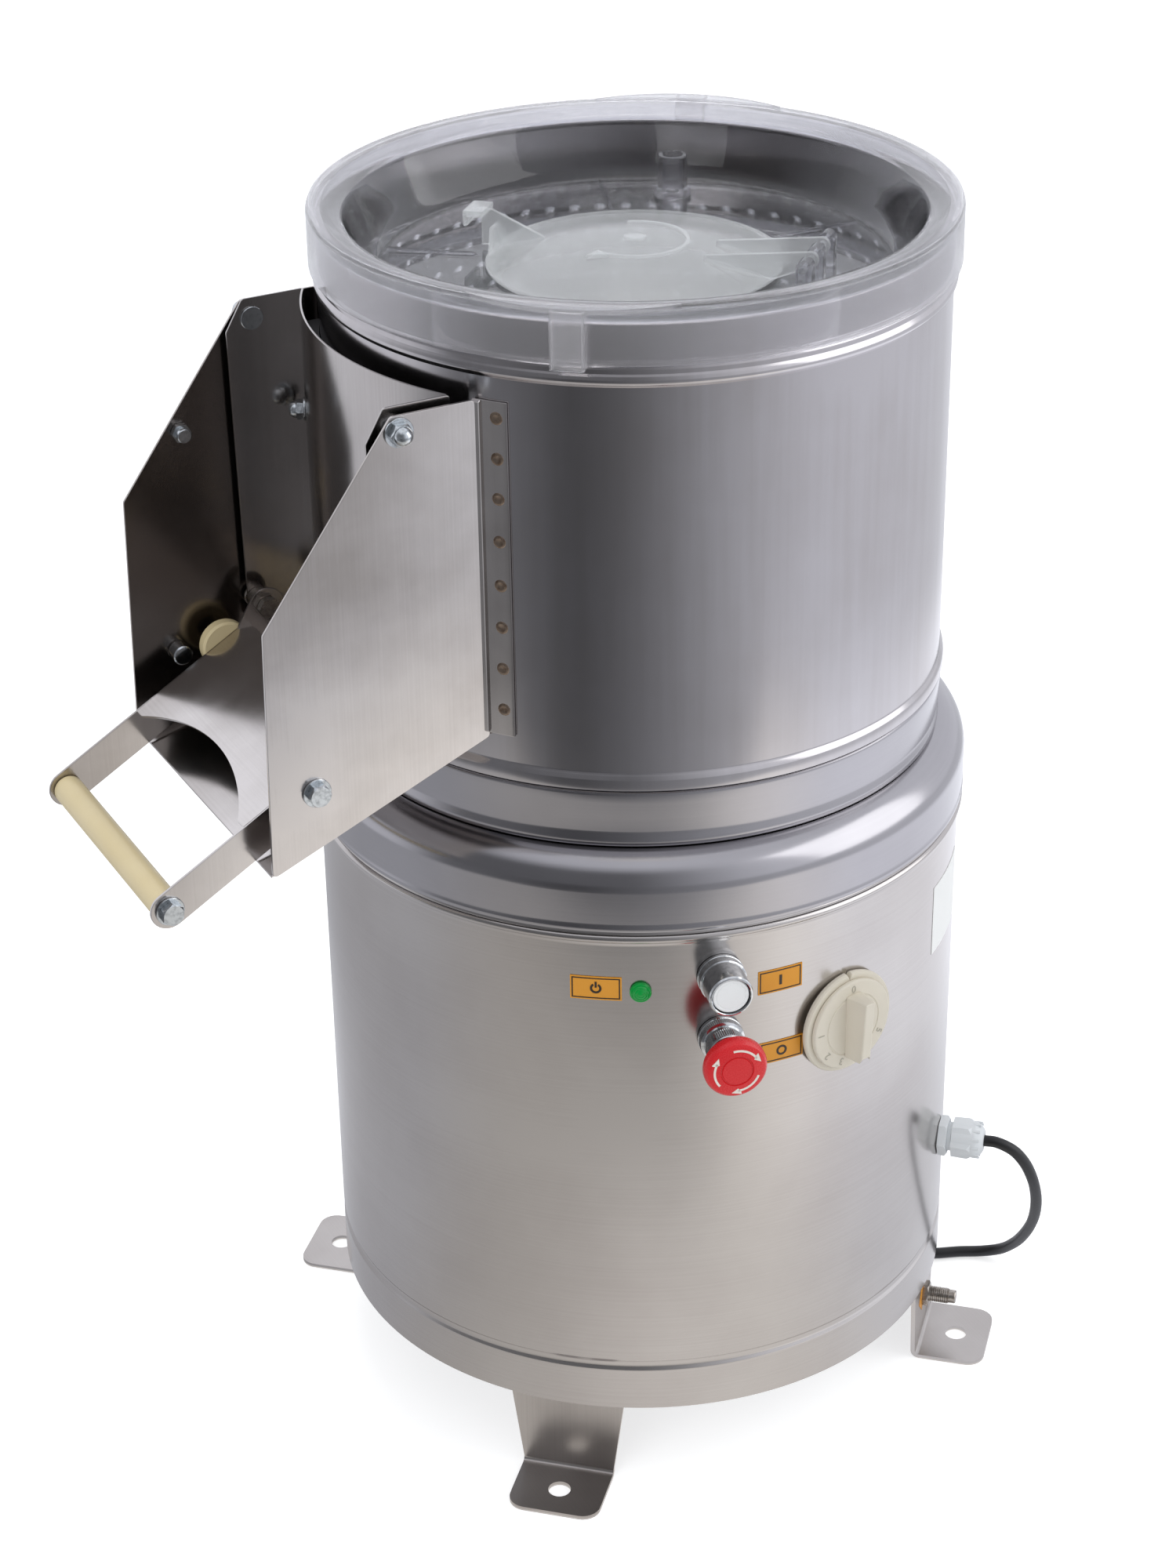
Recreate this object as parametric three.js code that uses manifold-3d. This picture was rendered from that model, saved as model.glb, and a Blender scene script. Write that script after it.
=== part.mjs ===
// Floor-standing electric potato peeler: a steel drum with a clear lid and a discharge
// chute, on a round base that holds the motor, the belt drive and the controls.
// Millimetres, +Z up. The chute points along -X and the controls face -Y.

import * as THREE from 'three'
import { mergeVertices } from 'three/addons/utils/BufferGeometryUtils.js'
import Module from 'manifold-3d'

const wasm = await Module()
wasm.setup()

// Clearances and facet counts shared by all pieces
const gap = 0.3
const runGap = 0.5
const holeSlack = 0.8
const overrun = 2
const ringSteps = 36
const midSteps = 16
const pinSteps = 10
const bendSteps = 4
const roundSteps = 3
const domeSteps = 22
const beltSteps = 12
const pipeSteps = 6
const hexSides = 6
const fullTurn = 360
const halfTurn = 180
const degree = Math.PI / halfTurn
const quarter = Math.PI / 2
const halfShare = 0.5
const thirdShare = 1 / 3

// Feet: four bent brackets inside the base shell
const foot = {
  count: 4, turn: 47.4, sheet: 3, drop: 62, legFace: 204.8, legTop: 28, legWidth: 76,
  padWidth: 62, padLength: 47.2, cornerRound: 12, bendRound: 3, holeRadius: 7.5, holeShare: 0.513,
}

// Base shell, its bottom plate and the deck that carries the drive
const base = {
  radius: 211, wall: 1.5, height: 355, grooveLevel: 35, grooveHalf: 4, grooveDepth: 1.4,
  beadRise: 11, beadStand: 3, beadRound: 2.2, lip: 7,
}
const basePlate = { level: 10, sheet: 2.5, slotWidth: 6, slotLength: 70, slotPitch: 16, slotCount: 5 }
const deck = { level: 236, sheet: 4, shaftHole: 17 }

// Shoulder cover and neck ring between the base and the drum
const cover = { skirt: 26.7, round: 22, sheet: 1.5, seat: 6 }
const neck = { radius: 197, height: 38.7, taper: 2.7, bulge: 1.3, bulgeLevel: 6, wall: 2, ledge: 10 }
const pan = { sheet: 2.5, collarRadius: 27, collarWall: 3, collarRise: 22, clearance: 0.4 }

// Drum, its inner liner and the window behind the door
const drum = {
  radius: 195, wall: 1.5, height: 295.7, footBead: 12.2, footStand: 2.6, topBeadDrop: 38.2,
  topBeadRise: 13, topStand: 2.6, topStepStand: 1.2, rimRound: 2,
  beadShares: { low: 0.2, face: 0.5, step: 0.7 },
}
const liner = { sheet: 1.2, foot: 8, topDrop: 49.7, clearance: 0.4 }
const opening = { halfWidth: 88, foot: 34.7, topDrop: 74 }
const seal = { depth: 9.4, side: 9, foot: 7, top: 6 }

// Discharge chute: two side plates with welded flanges and a sloping floor.
// Reaches are counted from the drum's axis, drops from the drum's top, rises from its foot.
const chute = {
  halfWidth: 111.4, sheet: 2, floorSheet: 1.5, topReach: 217.8, topDrop: 52,
  browReach: 303.5, browDrop: 169, noseReach: 307, noseSink: 31.8, rootRise: 27.2,
  flangeWidth: 16, flangeSheet: 1.8, flangeRise: 27,
}

// Door: a curved sheet with two side flanges, hung on two pins
const door = {
  sheet: 1.5, foot: 30.7, topDrop: 49, flangeFace: 104, flangeReach: 231, flangeFootReach: 228,
  browDrop: 20, browReach: 219, footRound: 3, hingeReach: 213.5, hingeDrop: 62,
}

// Lever tray: an inverted channel with two long arms, a grip between them and two rollers
const lever = {
  pivotReach: 222, pivotRise: 46.7, slope: 29.6, halfWidth: 88.5, sheet: 2, armDepth: 24,
  armLength: 170.7, earRadius: 12, earRun: 24, webStart: 15.2, webEnd: 106.3,
  notchRadius: 150, notchDepth: 22.5, heelRun: 16, earStart: -118.8, earEnd: 109.8,
}
const grip = { radius: 9.5 }
const roller = {
  radius: 16, width: 8.5, along: 35.6, below: 6, pinRadius: 3, headRadius: 6, headSink: 3,
}
const latch = { noseInset: 31, noseRise: 50.7, stubRadius: 6.5 }
const doorStop = { edgeShare: 0.534, edgeDrop: 14.9, radius: 5, length: 10 }
const bolt = {
  radius: 4, hexRadius: 7.5, headRise: 5.5, washerRadius: 9, washerSheet: 1.6, shoulder: 7,
  flatHead: 7.5, flatRise: 1.2, domeRise: 6, domeShares: { foot: 0.85, tip: 0.6 },
}

// Lid: a clear moulded bowl with a skirt, two grip tabs, a water nozzle and a hatch
const lid = {
  radius: 200, wall: 2.8, skirt: 24.6, rise: 12, topRound: 1.5, rimInner: 178, rimDrop: 6.5,
  floorRadius: 157, floorDrop: 32, wallBend: 9, ribDrop: 7.5, ribInner: 191.6, ribOuter: 195,
  hatchHole: 86, tabTurn: -39.2, tabArc: 106, tabStand: 8.3, tabSheet: 3,
  gripWidth: 20, gripDepth: 10, gripHeight: 37, gripSlot: 12,
}
const nozzle = {
  turn: 141, reach: 134, radius: 9.5, bore: 6.6, rise: 26, collarRadius: 12, collarRise: 5,
}
const hatch = {
  radius: 92, wall: 2.5, rim: 2.4, domeRise: 13, domeRadius: 87, turn: 44.6, hingeReach: 114,
  hingeRise: 16, finSheet: 4, finOffset: 14, finReach: 48, knuckleRadius: 5, pinRadius: 2.2,
  postWidth: 9, postPitch: 27, latchSheet: 3.5, latchInner: 58, latchReach: 99, latchRise: 26,
  latchBarWidth: 22, latchBarDepth: 9, latchBarSheet: 4, latchFootShare: 0.7,
}

// Drive: motor, belt, shaft, bearings and the abrasive disc
const motor = {
  offset: 135, radius: 62, length: 186, flange: 66, flangeRise: 7, endRound: 8, shaftRadius: 8,
}
const belt = {
  level: 272, width: 10, height: 6, clearance: 0.8, drivenRadius: 85, drivingRadius: 22, rimWall: 5,
}
const shaft = { radius: 12.5, foot: 230, threadRadius: 8, threadRise: 12 }
const bearing = { radius: 26, width: 15, lowLevel: 356, highLevel: 395 }
const housing = { wall: 9, foot: 350, lipRadius: 20, lipRise: 4, flange: 62, flangeSheet: 6 }
const disc = {
  radius: 186, sheet: 10, edge: 2, level: 9.7, hubRadius: 24, hubDrop: 19, lobeCount: 3, lobeRise: 9,
  lobeWidth: 46, paddleDrop: 33, paddleSheet: 4, paddleStart: 40, paddleEnd: 180, paddleCount: 2,
  lobeShares: { length: 0.72, spot: 0.58 },
}
const discNut = { radius: 15, rise: 15 }
const drain = {
  turn: 180, panReach: 150, radius: 27, wall: 1.5, bendRadius: 38, mouthReach: 240, level: 320,
}

// Controls on the front of the base shell
const pilot = {
  turn: -28.4, level: 323, radius: 6.5, stemRadius: 5, rise: 6, stemLength: 22,
  domeShares: { radius: 0.75, rise: 0.85 },
}
const startButton = {
  turn: -15, level: 331, ringRadius: 15, ringRise: 7, radius: 14, rise: 27, capRadius: 11.5,
  capSink: 1, capLength: 14, neckRadius: 11, neckLength: 30, stemRadius: 4, floorRise: 8,
}
const stopButton = {
  turn: -15, level: 287, ringRadius: 14.5, ringRise: 8, collarRadius: 12.5, collarRise: 21,
  stemRadius: 5, headRadius: 20, headBack: 28, headFront: 42, headRound: 4, skirtRadius: 13,
  roundShares: { side: 1.5, edge: 0.3 },
}
const knobSwitch = {
  turn: 9, level: 275, plateRadius: 35, plateRise: 5, notchRadius: 5, dialRadius: 31, dialRise: 9,
  wingLength: 46, wingWidth: 10, wingRise: 25, neckRadius: 11, bodyWidth: 44, bodyDepth: 42,
  shaftRadius: 3, setback: 3.9, wingTopShare: 0.7,
}
const gland = {
  turn: 47.4, level: 107, threadRadius: 10, hexRadius: 14, hexRise: 6, nutStart: 9.3, nutEnd: 31,
  nutShoulder: 24, tipRadius: 7, lockRise: 5, domeShares: { foot: 0.9, middle: 0.75 },
}
const earth = {
  level: -28, radius: 5.5, length: 18, tipRadius: 4.5, tipLength: 5, nutRadius: 9, nutRise: 4,
}

// Supply cord: route points chosen by hand, then a two-layer coil behind the base and a plug
const cord = { radius: 4, sides: 6, steps: 38, tailSteps: 5, straight: 8 }
const cordHangs = [
  [193.5, -176, 101.5], [201.5, -178.5, 91], [210.5, -176.5, 74], [219.5, -170, 54],
  [228, -160, 32], [236, -146, 8], [242, -129, -16], [246, -112, -36], [245, -97, -50.5],
  [237, -85.5, -57],
]
const cordRests = [
  [223, -77], [204, -69], [182, -52], [158, -22], [134, 22], [112, 72], [96, 124], [84, 176],
  [77.5, 222],
]
const coil = {
  centreX: 24, centreY: 281, innerRadius: 34, pitch: 8.7, turns: 4.25, climbTurns: 0.5,
  stepsPerTurn: 24, sides: 6, straight: 8,
}
const plug = {
  level: 19, bodyRadius: 18.5, bodyLength: 34, neckRadius: 7, neckLength: 14, pinRadius: 2.4,
  pinLength: 19, pinSpread: 19, run: 26, bodyShares: { shoulder: 0.75, straight: 0.55 },
}

// Levels worked out from the sizes above, counted from the base shell's lower edge
const baseTop = base.height + base.beadRise
const coverRadius = base.radius + base.beadStand
const coverFoot = baseTop + gap
const coverTop = coverFoot + cover.skirt + cover.round
const neckFoot = coverTop + gap
const neckTop = neckFoot + neck.height
const panLevel = neckFoot + neck.wall + gap
const drumFoot = neckTop + gap
const drumTop = drumFoot + drum.height
const drumInner = drum.radius - drum.wall
const linerOuter = drumInner - liner.clearance
const windowLevel = drumFoot + opening.foot
const windowTop = drumTop - opening.topDrop
const doorInner = drum.radius + seal.depth + gap * 2
const hingeLevel = drumTop - door.hingeDrop
const pivotLevel = drumFoot + lever.pivotRise
const chuteTop = drumTop - chute.topDrop
const browLevel = drumTop - chute.browDrop
const noseLevel = drumFoot - chute.noseSink
const rootLevel = drumFoot + chute.rootRise
const latchReach = chute.noseReach - latch.noseInset
const latchLevel = noseLevel + latch.noseRise
const stopReach = chute.topReach + (chute.browReach - chute.topReach) * doorStop.edgeShare
const stopLevel = chuteTop + (browLevel - chuteTop) * doorStop.edgeShare - doorStop.edgeDrop
const padEnd = foot.legFace + foot.padLength
const floorZ = -foot.drop
const discTop = drumFoot + disc.level + disc.sheet
const lidRim = drumTop + lid.rise
const lidFloor = lidRim - lid.floorDrop - lid.rise
const hatchFoot = lidFloor + gap
const plateInner = chute.halfWidth - chute.sheet

// Finishes
function finish(color, roughness, metalness) {
  return new THREE.MeshStandardMaterial({ color, roughness, metalness })
}
const steel = () => finish('#b9bbbe', 0.32, 0.9)
const polished = () => finish('#c9cbce', 0.18, 0.95)
const zinc = () => finish('#c4c8cb', 0.25, 0.9)
const castGrey = () => finish('#6d7378', 0.7, 0.3)
const abrasive = () => finish('#5b5751', 0.95, 0)
const clearPlastic = () => finish('#dfe3ea', 0.08, 0)
const milkPlastic = () => finish('#e6e8e8', 0.3, 0)
const creamPlastic = () => finish('#efe3b6', 0.45, 0)
const greyPlastic = () => finish('#d5d8d6', 0.4, 0)
const rubber = () => finish('#1c1c1e', 0.6, 0)
const red = () => finish('#d3222f', 0.35, 0)
const green = () => finish('#0f9b45', 0.2, 0)
const white = () => finish('#f1f1f1', 0.4, 0)

// Solid tools
function clean(geometry) {
  const bare = geometry.index ? geometry.toNonIndexed() : geometry.clone()
  bare.deleteAttribute('normal')
  bare.deleteAttribute('uv')
  return mergeVertices(bare, 1e-4)
}

function wholeTriangles(geometry) {
  const merged = clean(geometry)
  const kept = []
  for (let i = 0; i < merged.index.count; i += 3) {
    const corner = [0, 1, 2].map((k) => merged.index.getX(i + k))
    if (new Set(corner).size === 3) kept.push(...corner)
  }
  merged.setIndex(kept)
  return merged
}

function weld(vertProperties, triVerts) {
  const mesh = new wasm.Mesh({ numProp: 3, vertProperties, triVerts })
  mesh.merge()
  return new wasm.Manifold(mesh)
}

function toSolid(geometry) {
  const closed = geometry.userData.closed ? geometry : wholeTriangles(geometry)
  const triVerts = Uint32Array.from(closed.index.array)
  const vertProperties = Float32Array.from(closed.attributes.position.array)
  const solid = weld(vertProperties, triVerts)
  if (solid.volume() >= 0) return solid
  const turned = triVerts.map((_, i) => triVerts[i - (i % 3) + [0, 2, 1][i % 3]])
  return weld(vertProperties, turned)
}

function toGeometry(solid) {
  const mesh = solid.getMesh()
  const geometry = new THREE.BufferGeometry()
  geometry.setAttribute('position', new THREE.BufferAttribute(mesh.vertProperties, 3))
  geometry.setIndex(new THREE.BufferAttribute(mesh.triVerts, 1))
  geometry.computeVertexNormals()
  geometry.userData.closed = true
  return geometry
}

function join(...geometries) {
  return toGeometry(geometries.map(toSolid).reduce((sum, solid) => sum.add(solid)))
}

function cut(geometry, ...tools) {
  return toGeometry(tools.map(toSolid).reduce((left, tool) => left.subtract(tool), toSolid(geometry)))
}

function common(geometry, ...tools) {
  return toGeometry(tools.map(toSolid).reduce((left, tool) => left.intersect(tool), toSolid(geometry)))
}

// Primitive forms
function revolve(points, steps = ringSteps) {
  const profile = points.map(([radius, level]) => new THREE.Vector2(radius, level))
  const last = profile[profile.length - 1]
  const closes = profile[0].x === 0 && last.x === 0
  if (!closes) profile.push(profile[0].clone())
  return new THREE.LatheGeometry(profile, steps)
}

function revolveZ(points, steps = ringSteps) {
  return toGeometry(toSolid(revolve(points, steps).rotateX(quarter)))
}

function revolveY(points, steps = pinSteps) {
  return toGeometry(toSolid(revolve(points, steps)))
}

function sleeve(bore, outer, low, high) {
  return revolveZ([[bore, low], [outer, low], [outer, high], [bore, high]], midSteps)
}

function box(x0, x1, y0, y1, z0, z1) {
  const block = new THREE.BoxGeometry(x1 - x0, y1 - y0, z1 - z0)
  return block.translate((x0 + x1) * halfShare, (y0 + y1) * halfShare, (z0 + z1) * halfShare)
}

function rodZ(radius, z0, z1, steps = pinSteps) {
  return new THREE.CylinderGeometry(radius, radius, z1 - z0, steps).rotateX(quarter)
    .translate(0, 0, (z0 + z1) * halfShare)
}

function rodY(radius, y0, y1, steps = pinSteps) {
  return new THREE.CylinderGeometry(radius, radius, y1 - y0, steps)
    .translate(0, (y0 + y1) * halfShare, 0)
}

function outline(points, holes = []) {
  const corners = points.map(([x, y]) => new THREE.Vector2(x, y))
  if (THREE.ShapeUtils.isClockWise(corners)) corners.reverse()
  const shape = new THREE.Shape(corners)
  shape.holes = holes
  return shape
}

function roundHole(x, y, radius) {
  return new THREE.Path().absarc(x, y, radius, 0, Math.PI * 2, true)
}

function rodX(radius, x0, x1, steps = pinSteps) {
  return new THREE.CylinderGeometry(radius, radius, x1 - x0, steps).rotateZ(quarter)
    .translate((x0 + x1) * halfShare, 0, 0)
}

function plateXY(shape, z0, z1, steps = pinSteps) {
  const depth = z1 - z0
  return new THREE.ExtrudeGeometry(shape, { depth, bevelEnabled: false, curveSegments: steps })
    .translate(0, 0, z0)
}

function plateXZ(shape, y0, y1, steps = pinSteps) {
  const depth = y1 - y0
  return new THREE.ExtrudeGeometry(shape, { depth, bevelEnabled: false, curveSegments: steps })
    .rotateX(quarter).translate(0, y1, 0)
}

function polar(radius, turn) {
  return [radius * Math.sin(turn * degree), -radius * Math.cos(turn * degree)]
}

// Mesh and placing helpers
const meshes = new Map()

function piece(name, geometry, material, parent) {
  const mesh = new THREE.Mesh(geometry, material)
  mesh.name = name
  parent.add(mesh)
  meshes.set(name, mesh)
  return mesh
}

function radialGroup(parent, radius, turn, level) {
  const group = new THREE.Group()
  const [x, y] = polar(radius, turn)
  const outward = new THREE.Vector3(x, y, 0).normalize()
  const up = new THREE.Vector3(0, 0, 1)
  const right = new THREE.Vector3().crossVectors(up, outward)
  group.quaternion.setFromRotationMatrix(new THREE.Matrix4().makeBasis(right, up, outward))
  group.position.set(x, y, level)
  parent.add(group)
  return group
}

function radialRod(radius, turn, level, inner, outer, steps = pinSteps) {
  return rodY(radius, -outer, -inner, steps).rotateZ(turn * degree).translate(0, 0, level)
}

const machine = new THREE.Group()

// Feet
function footBracket(turn, earthHole) {
  const inner = foot.legFace - foot.sheet
  const bendOuter = foot.bendRound + foot.sheet
  const side = new THREE.Shape()
  side.moveTo(inner, foot.legTop)
  side.lineTo(inner, floorZ + bendOuter)
  side.absarc(inner + bendOuter, floorZ + bendOuter, bendOuter, Math.PI, quarter * 3, false)
  side.lineTo(padEnd, floorZ)
  side.lineTo(padEnd, floorZ + foot.sheet)
  side.lineTo(inner + bendOuter, floorZ + foot.sheet)
  side.absarc(inner + bendOuter, floorZ + bendOuter, foot.bendRound, quarter * 3, Math.PI, true)
  side.lineTo(foot.legFace, foot.legTop)
  const legHalf = foot.legWidth * halfShare
  const padHalf = foot.padWidth * halfShare
  const bent = plateXZ(side, -legHalf, legHalf, bendSteps)
  const front = outline([[-legHalf, foot.legTop + overrun], [-legHalf, -overrun],
    [-padHalf, floorZ + bendOuter], [-padHalf, floorZ - overrun], [padHalf, floorZ - overrun],
    [padHalf, floorZ + bendOuter], [legHalf, -overrun], [legHalf, foot.legTop + overrun]])
  const frontPrism = plateXZ(front, -padEnd - overrun, 0).rotateZ(quarter)
  const round = foot.cornerRound
  const top = new THREE.Shape()
  top.moveTo(0, -legHalf - overrun)
  top.lineTo(padEnd - round, -legHalf - overrun)
  top.lineTo(padEnd - round, -padHalf)
  top.absarc(padEnd - round, round - padHalf, round, -quarter, 0, false)
  top.absarc(padEnd - round, padHalf - round, round, 0, quarter, false)
  top.lineTo(padEnd - round, legHalf + overrun)
  top.lineTo(0, legHalf + overrun)
  const topPrism = plateXY(top, floorZ - overrun, foot.legTop + overrun, bendSteps)
  const holeReach = foot.legFace + foot.padLength * foot.holeShare
  const hole = rodZ(foot.holeRadius, floorZ - overrun, 0, midSteps).translate(holeReach, 0, 0)
  let bracket = cut(common(bent, frontPrism, topPrism), hole)
  if (earthHole) {
    const stud = rodY(earth.radius + gap, 0, padEnd).rotateZ(-quarter).translate(0, 0, earth.level)
    bracket = cut(bracket, stud)
  }
  return bracket.rotateZ(turn * degree - quarter)
}

for (let i = 0; i < foot.count; i += 1) {
  const turn = foot.turn + (i * fullTurn) / foot.count
  piece(`foot_${i + 1}`, footBracket(turn, i === 0), steel(), machine)
}

// Base shell with its openings for the controls, the gland and the drain
function baseShell() {
  const inner = base.radius - base.wall
  const groove = base.grooveLevel
  const half = base.grooveHalf
  const bottom = half * halfShare
  const sunk = base.radius - base.grooveDepth
  const lipTop = baseTop + base.lip
  const beadEdge = base.radius + base.beadStand
  const profile = [
    [inner, 0], [base.radius, 0], [base.radius, groove - half], [sunk, groove - bottom],
    [sunk, groove + bottom], [base.radius, groove + half], [base.radius, base.height],
    [beadEdge, base.height + base.beadRound], [beadEdge, baseTop - base.beadRound],
    [base.radius, baseTop], [base.radius, lipTop],
    [inner, lipTop], [inner, groove + half], [sunk - base.wall, groove + bottom],
    [sunk - base.wall, groove - bottom], [inner, groove - half],
  ]
  const from = inner - overrun * 2
  const to = base.radius + overrun
  return cut(revolveZ(profile),
    radialRod(pilot.stemRadius + holeSlack, pilot.turn, pilot.level, from, to),
    radialRod(startButton.neckRadius + holeSlack, startButton.turn, startButton.level, from, to),
    radialRod(startButton.neckRadius + holeSlack, stopButton.turn, stopButton.level, from, to),
    radialRod(knobSwitch.neckRadius + holeSlack, knobSwitch.turn, knobSwitch.level, from, to),
    radialRod(gland.threadRadius + holeSlack, gland.turn, gland.level, from, to),
    radialRod(drain.radius + holeSlack, drain.turn, drain.level, from - overrun, to, midSteps))
}
piece('base_shell', baseShell(), steel(), machine)

function bottomPlate() {
  const radius = foot.legFace - foot.sheet - gap
  const plate = rodZ(radius, basePlate.level, basePlate.level + basePlate.sheet, ringSteps)
  const slots = []
  for (let i = 0; i < basePlate.slotCount; i += 1) {
    const y = (i - (basePlate.slotCount - 1) * halfShare) * basePlate.slotPitch
    const half = basePlate.slotLength * halfShare
    const x1 = motor.offset + half - basePlate.slotWidth
    slots.push(box(motor.offset - half, x1, y, y + basePlate.slotWidth,
      basePlate.level - overrun, basePlate.level + basePlate.sheet + overrun))
  }
  return cut(plate, ...slots)
}
piece('base_plate', bottomPlate(), steel(), machine)

function motorDeck() {
  const radius = base.radius - base.wall - gap
  const plate = rodZ(radius, deck.level, deck.level + deck.sheet, ringSteps)
  const z0 = deck.level - overrun
  const z1 = deck.level + deck.sheet + overrun
  return cut(plate, rodZ(deck.shaftHole, z0, z1),
    rodZ(motor.shaftRadius + overrun, z0, z1).translate(motor.offset, 0, 0))
}
piece('motor_deck', motorDeck(), steel(), machine)

// Shoulder cover: skirt, round-over and the flat that the neck ring stands on
function quarterArc(centre, level, radius, steps, from, to) {
  const points = []
  for (let i = 0; i <= steps; i += 1) {
    const angle = from + ((to - from) * i) / steps
    points.push([centre + radius * Math.cos(angle), level + radius * Math.sin(angle)])
  }
  return points
}

function shoulderCover() {
  const shoulder = coverRadius - cover.round
  const bendLevel = coverFoot + cover.skirt
  const innerEdge = shoulder - cover.seat
  const profile = [
    [coverRadius - cover.sheet, coverFoot], [coverRadius, coverFoot],
    ...quarterArc(shoulder, bendLevel, cover.round, roundSteps, 0, quarter),
    [innerEdge, coverTop], [innerEdge, coverTop - cover.sheet],
    ...quarterArc(shoulder, bendLevel, cover.round - cover.sheet, roundSteps - 1, quarter, 0),
  ]
  return revolveZ(profile)
}
piece('shoulder_cover', shoulderCover(), steel(), machine)

function neckRing() {
  const footEdge = neck.radius - neck.taper
  const inner = footEdge - neck.ledge
  const rise = neck.bulgeLevel * halfShare
  return revolveZ([
    [inner, neckFoot], [footEdge, neckFoot], [footEdge + neck.bulge, neckFoot + rise],
    [footEdge, neckFoot + neck.bulgeLevel + rise], [neck.radius, neckTop],
    [neck.radius - neck.wall, neckTop], [footEdge - neck.wall, neckFoot + neck.wall],
    [inner, neckFoot + neck.wall],
  ])
}
piece('neck_ring', neckRing(), steel(), machine)

function drumPan() {
  const outer = neck.radius - neck.taper - neck.wall - pan.clearance
  const top = panLevel + pan.sheet
  const low = panLevel - overrun
  const high = top + overrun
  const [x, y] = polar(drain.panReach, drain.turn)
  const outlet = rodZ(drain.radius - drain.wall, low, high, midSteps).translate(x, y, 0)
  const centreHole = rodZ(pan.collarRadius, low, high, midSteps)
  const plate = cut(rodZ(outer, panLevel, top, ringSteps), outlet, centreHole)
  const collarOuter = pan.collarRadius + pan.collarWall
  return join(plate, sleeve(pan.collarRadius, collarOuter, panLevel, panLevel + pan.collarRise))
}
piece('drum_pan', drumPan(), steel(), machine)

// Drum shell and liner, both cut by the window that the door closes
function windowBox(z0, z1, half) {
  return box(-drum.radius * 2, -drumInner * halfShare, -half, half, z0, z1)
}

function drumShell() {
  const footEdge = drum.radius + drum.footStand
  const beadZ = drumTop - drum.topBeadDrop
  const topEdge = drum.radius + drum.topStand
  const step = drum.radius + drum.topStepStand
  const { low, face, step: ledge } = drum.beadShares
  const round = drum.rimRound
  const profile = [
    [drumInner, drumFoot], [footEdge, drumFoot], [footEdge, drumFoot + drum.footBead - round * 2],
    [drum.radius, drumFoot + drum.footBead], [drum.radius, beadZ],
    [topEdge, beadZ + drum.topBeadRise * low],
    [topEdge, beadZ + drum.topBeadRise * face], [step, beadZ + drum.topBeadRise * ledge],
    [drum.radius, beadZ + drum.topBeadRise],
    [drum.radius, drumTop], [drumInner - round, drumTop], [drumInner, drumTop - round * 2],
  ]
  return cut(revolveZ(profile), windowBox(windowLevel, windowTop, opening.halfWidth))
}
piece('drum_shell', drumShell(), steel(), machine)

function drumLiner() {
  const inner = linerOuter - liner.sheet
  const low = drumFoot + liner.foot
  const high = drumTop - liner.topDrop
  const profile = [[inner, low], [linerOuter, low], [linerOuter, high], [inner, high]]
  return cut(revolveZ(profile), windowBox(windowLevel, windowTop, opening.halfWidth))
}
piece('drum_liner', drumLiner(), polished(), machine)

// Rubber frame around the window, which the closed door presses on
function doorSeal() {
  const inner = drum.radius + gap
  const z0 = windowLevel - seal.foot
  const z1 = windowTop + seal.top
  const ring = revolveZ([[inner, z0], [inner + seal.depth, z0], [inner + seal.depth, z1], [inner, z1]])
  const frame = common(ring, windowBox(z0 - overrun, z1 + overrun, opening.halfWidth + seal.side))
  return cut(frame, windowBox(windowLevel, windowTop, opening.halfWidth))
}
piece('door_seal', doorSeal(), rubber(), machine)

// Chute side plates: a flat cheek with a curved flange spot-welded to the drum
const rootReach = Math.sqrt((drum.radius + gap) ** 2 - plateInner ** 2) + gap

function flangeStrip(side) {
  const inner = drum.radius + gap
  const outer = inner + chute.flangeSheet
  const z0 = drumFoot + chute.flangeRise
  const z1 = chuteTop
  const hoop = revolveZ([[inner, z0], [outer, z0], [outer, z1], [inner, z1]])
  const lean = Math.sqrt(1 - (chute.halfWidth / inner) ** 2)
  const farEdge = side * (chute.halfWidth + chute.flangeWidth * lean)
  const nearEdge = side * (plateInner + gap)
  const y0 = Math.min(nearEdge, farEdge)
  const y1 = Math.max(nearEdge, farEdge)
  return common(hoop, box(-inner * 2, 0, y0, y1, z0 - overrun, z1 + overrun))
}

function chuteSide(side) {
  const cheek = outline([
    [-rootReach, rootLevel], [-rootReach, chuteTop], [-chute.topReach, chuteTop],
    [-chute.browReach, browLevel], [-chute.noseReach, noseLevel],
  ], [roundHole(-door.hingeReach, hingeLevel, bolt.radius + gap),
    roundHole(-latchReach, latchLevel, bolt.radius + gap)])
  const low = Math.min(side * plateInner, side * chute.halfWidth)
  const plate = plateXZ(cheek, low, low + chute.sheet)
  const strip = flangeStrip(side)
  if (side < 0) return join(plate, strip)
  const stop = rodY(doorStop.radius, plateInner - doorStop.length, plateInner + gap)
    .translate(-stopReach, 0, stopLevel)
  return join(plate, strip, stop)
}
piece('chute_side_front', chuteSide(-1), steel(), machine)
piece('chute_side_rear', chuteSide(1), steel(), machine)

function chuteFloor() {
  const half = plateInner - gap
  const slab = outline([
    [-rootReach, rootLevel], [-chute.noseReach, noseLevel],
    [-chute.noseReach, noseLevel + chute.floorSheet], [-rootReach, rootLevel + chute.floorSheet],
  ])
  const sheet = plateXZ(slab, -half, half)
  return cut(sheet, rodZ(drum.radius + gap * 2, drumFoot, drumTop, ringSteps))
}
piece('chute_floor', chuteFloor(), steel(), machine)

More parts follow.
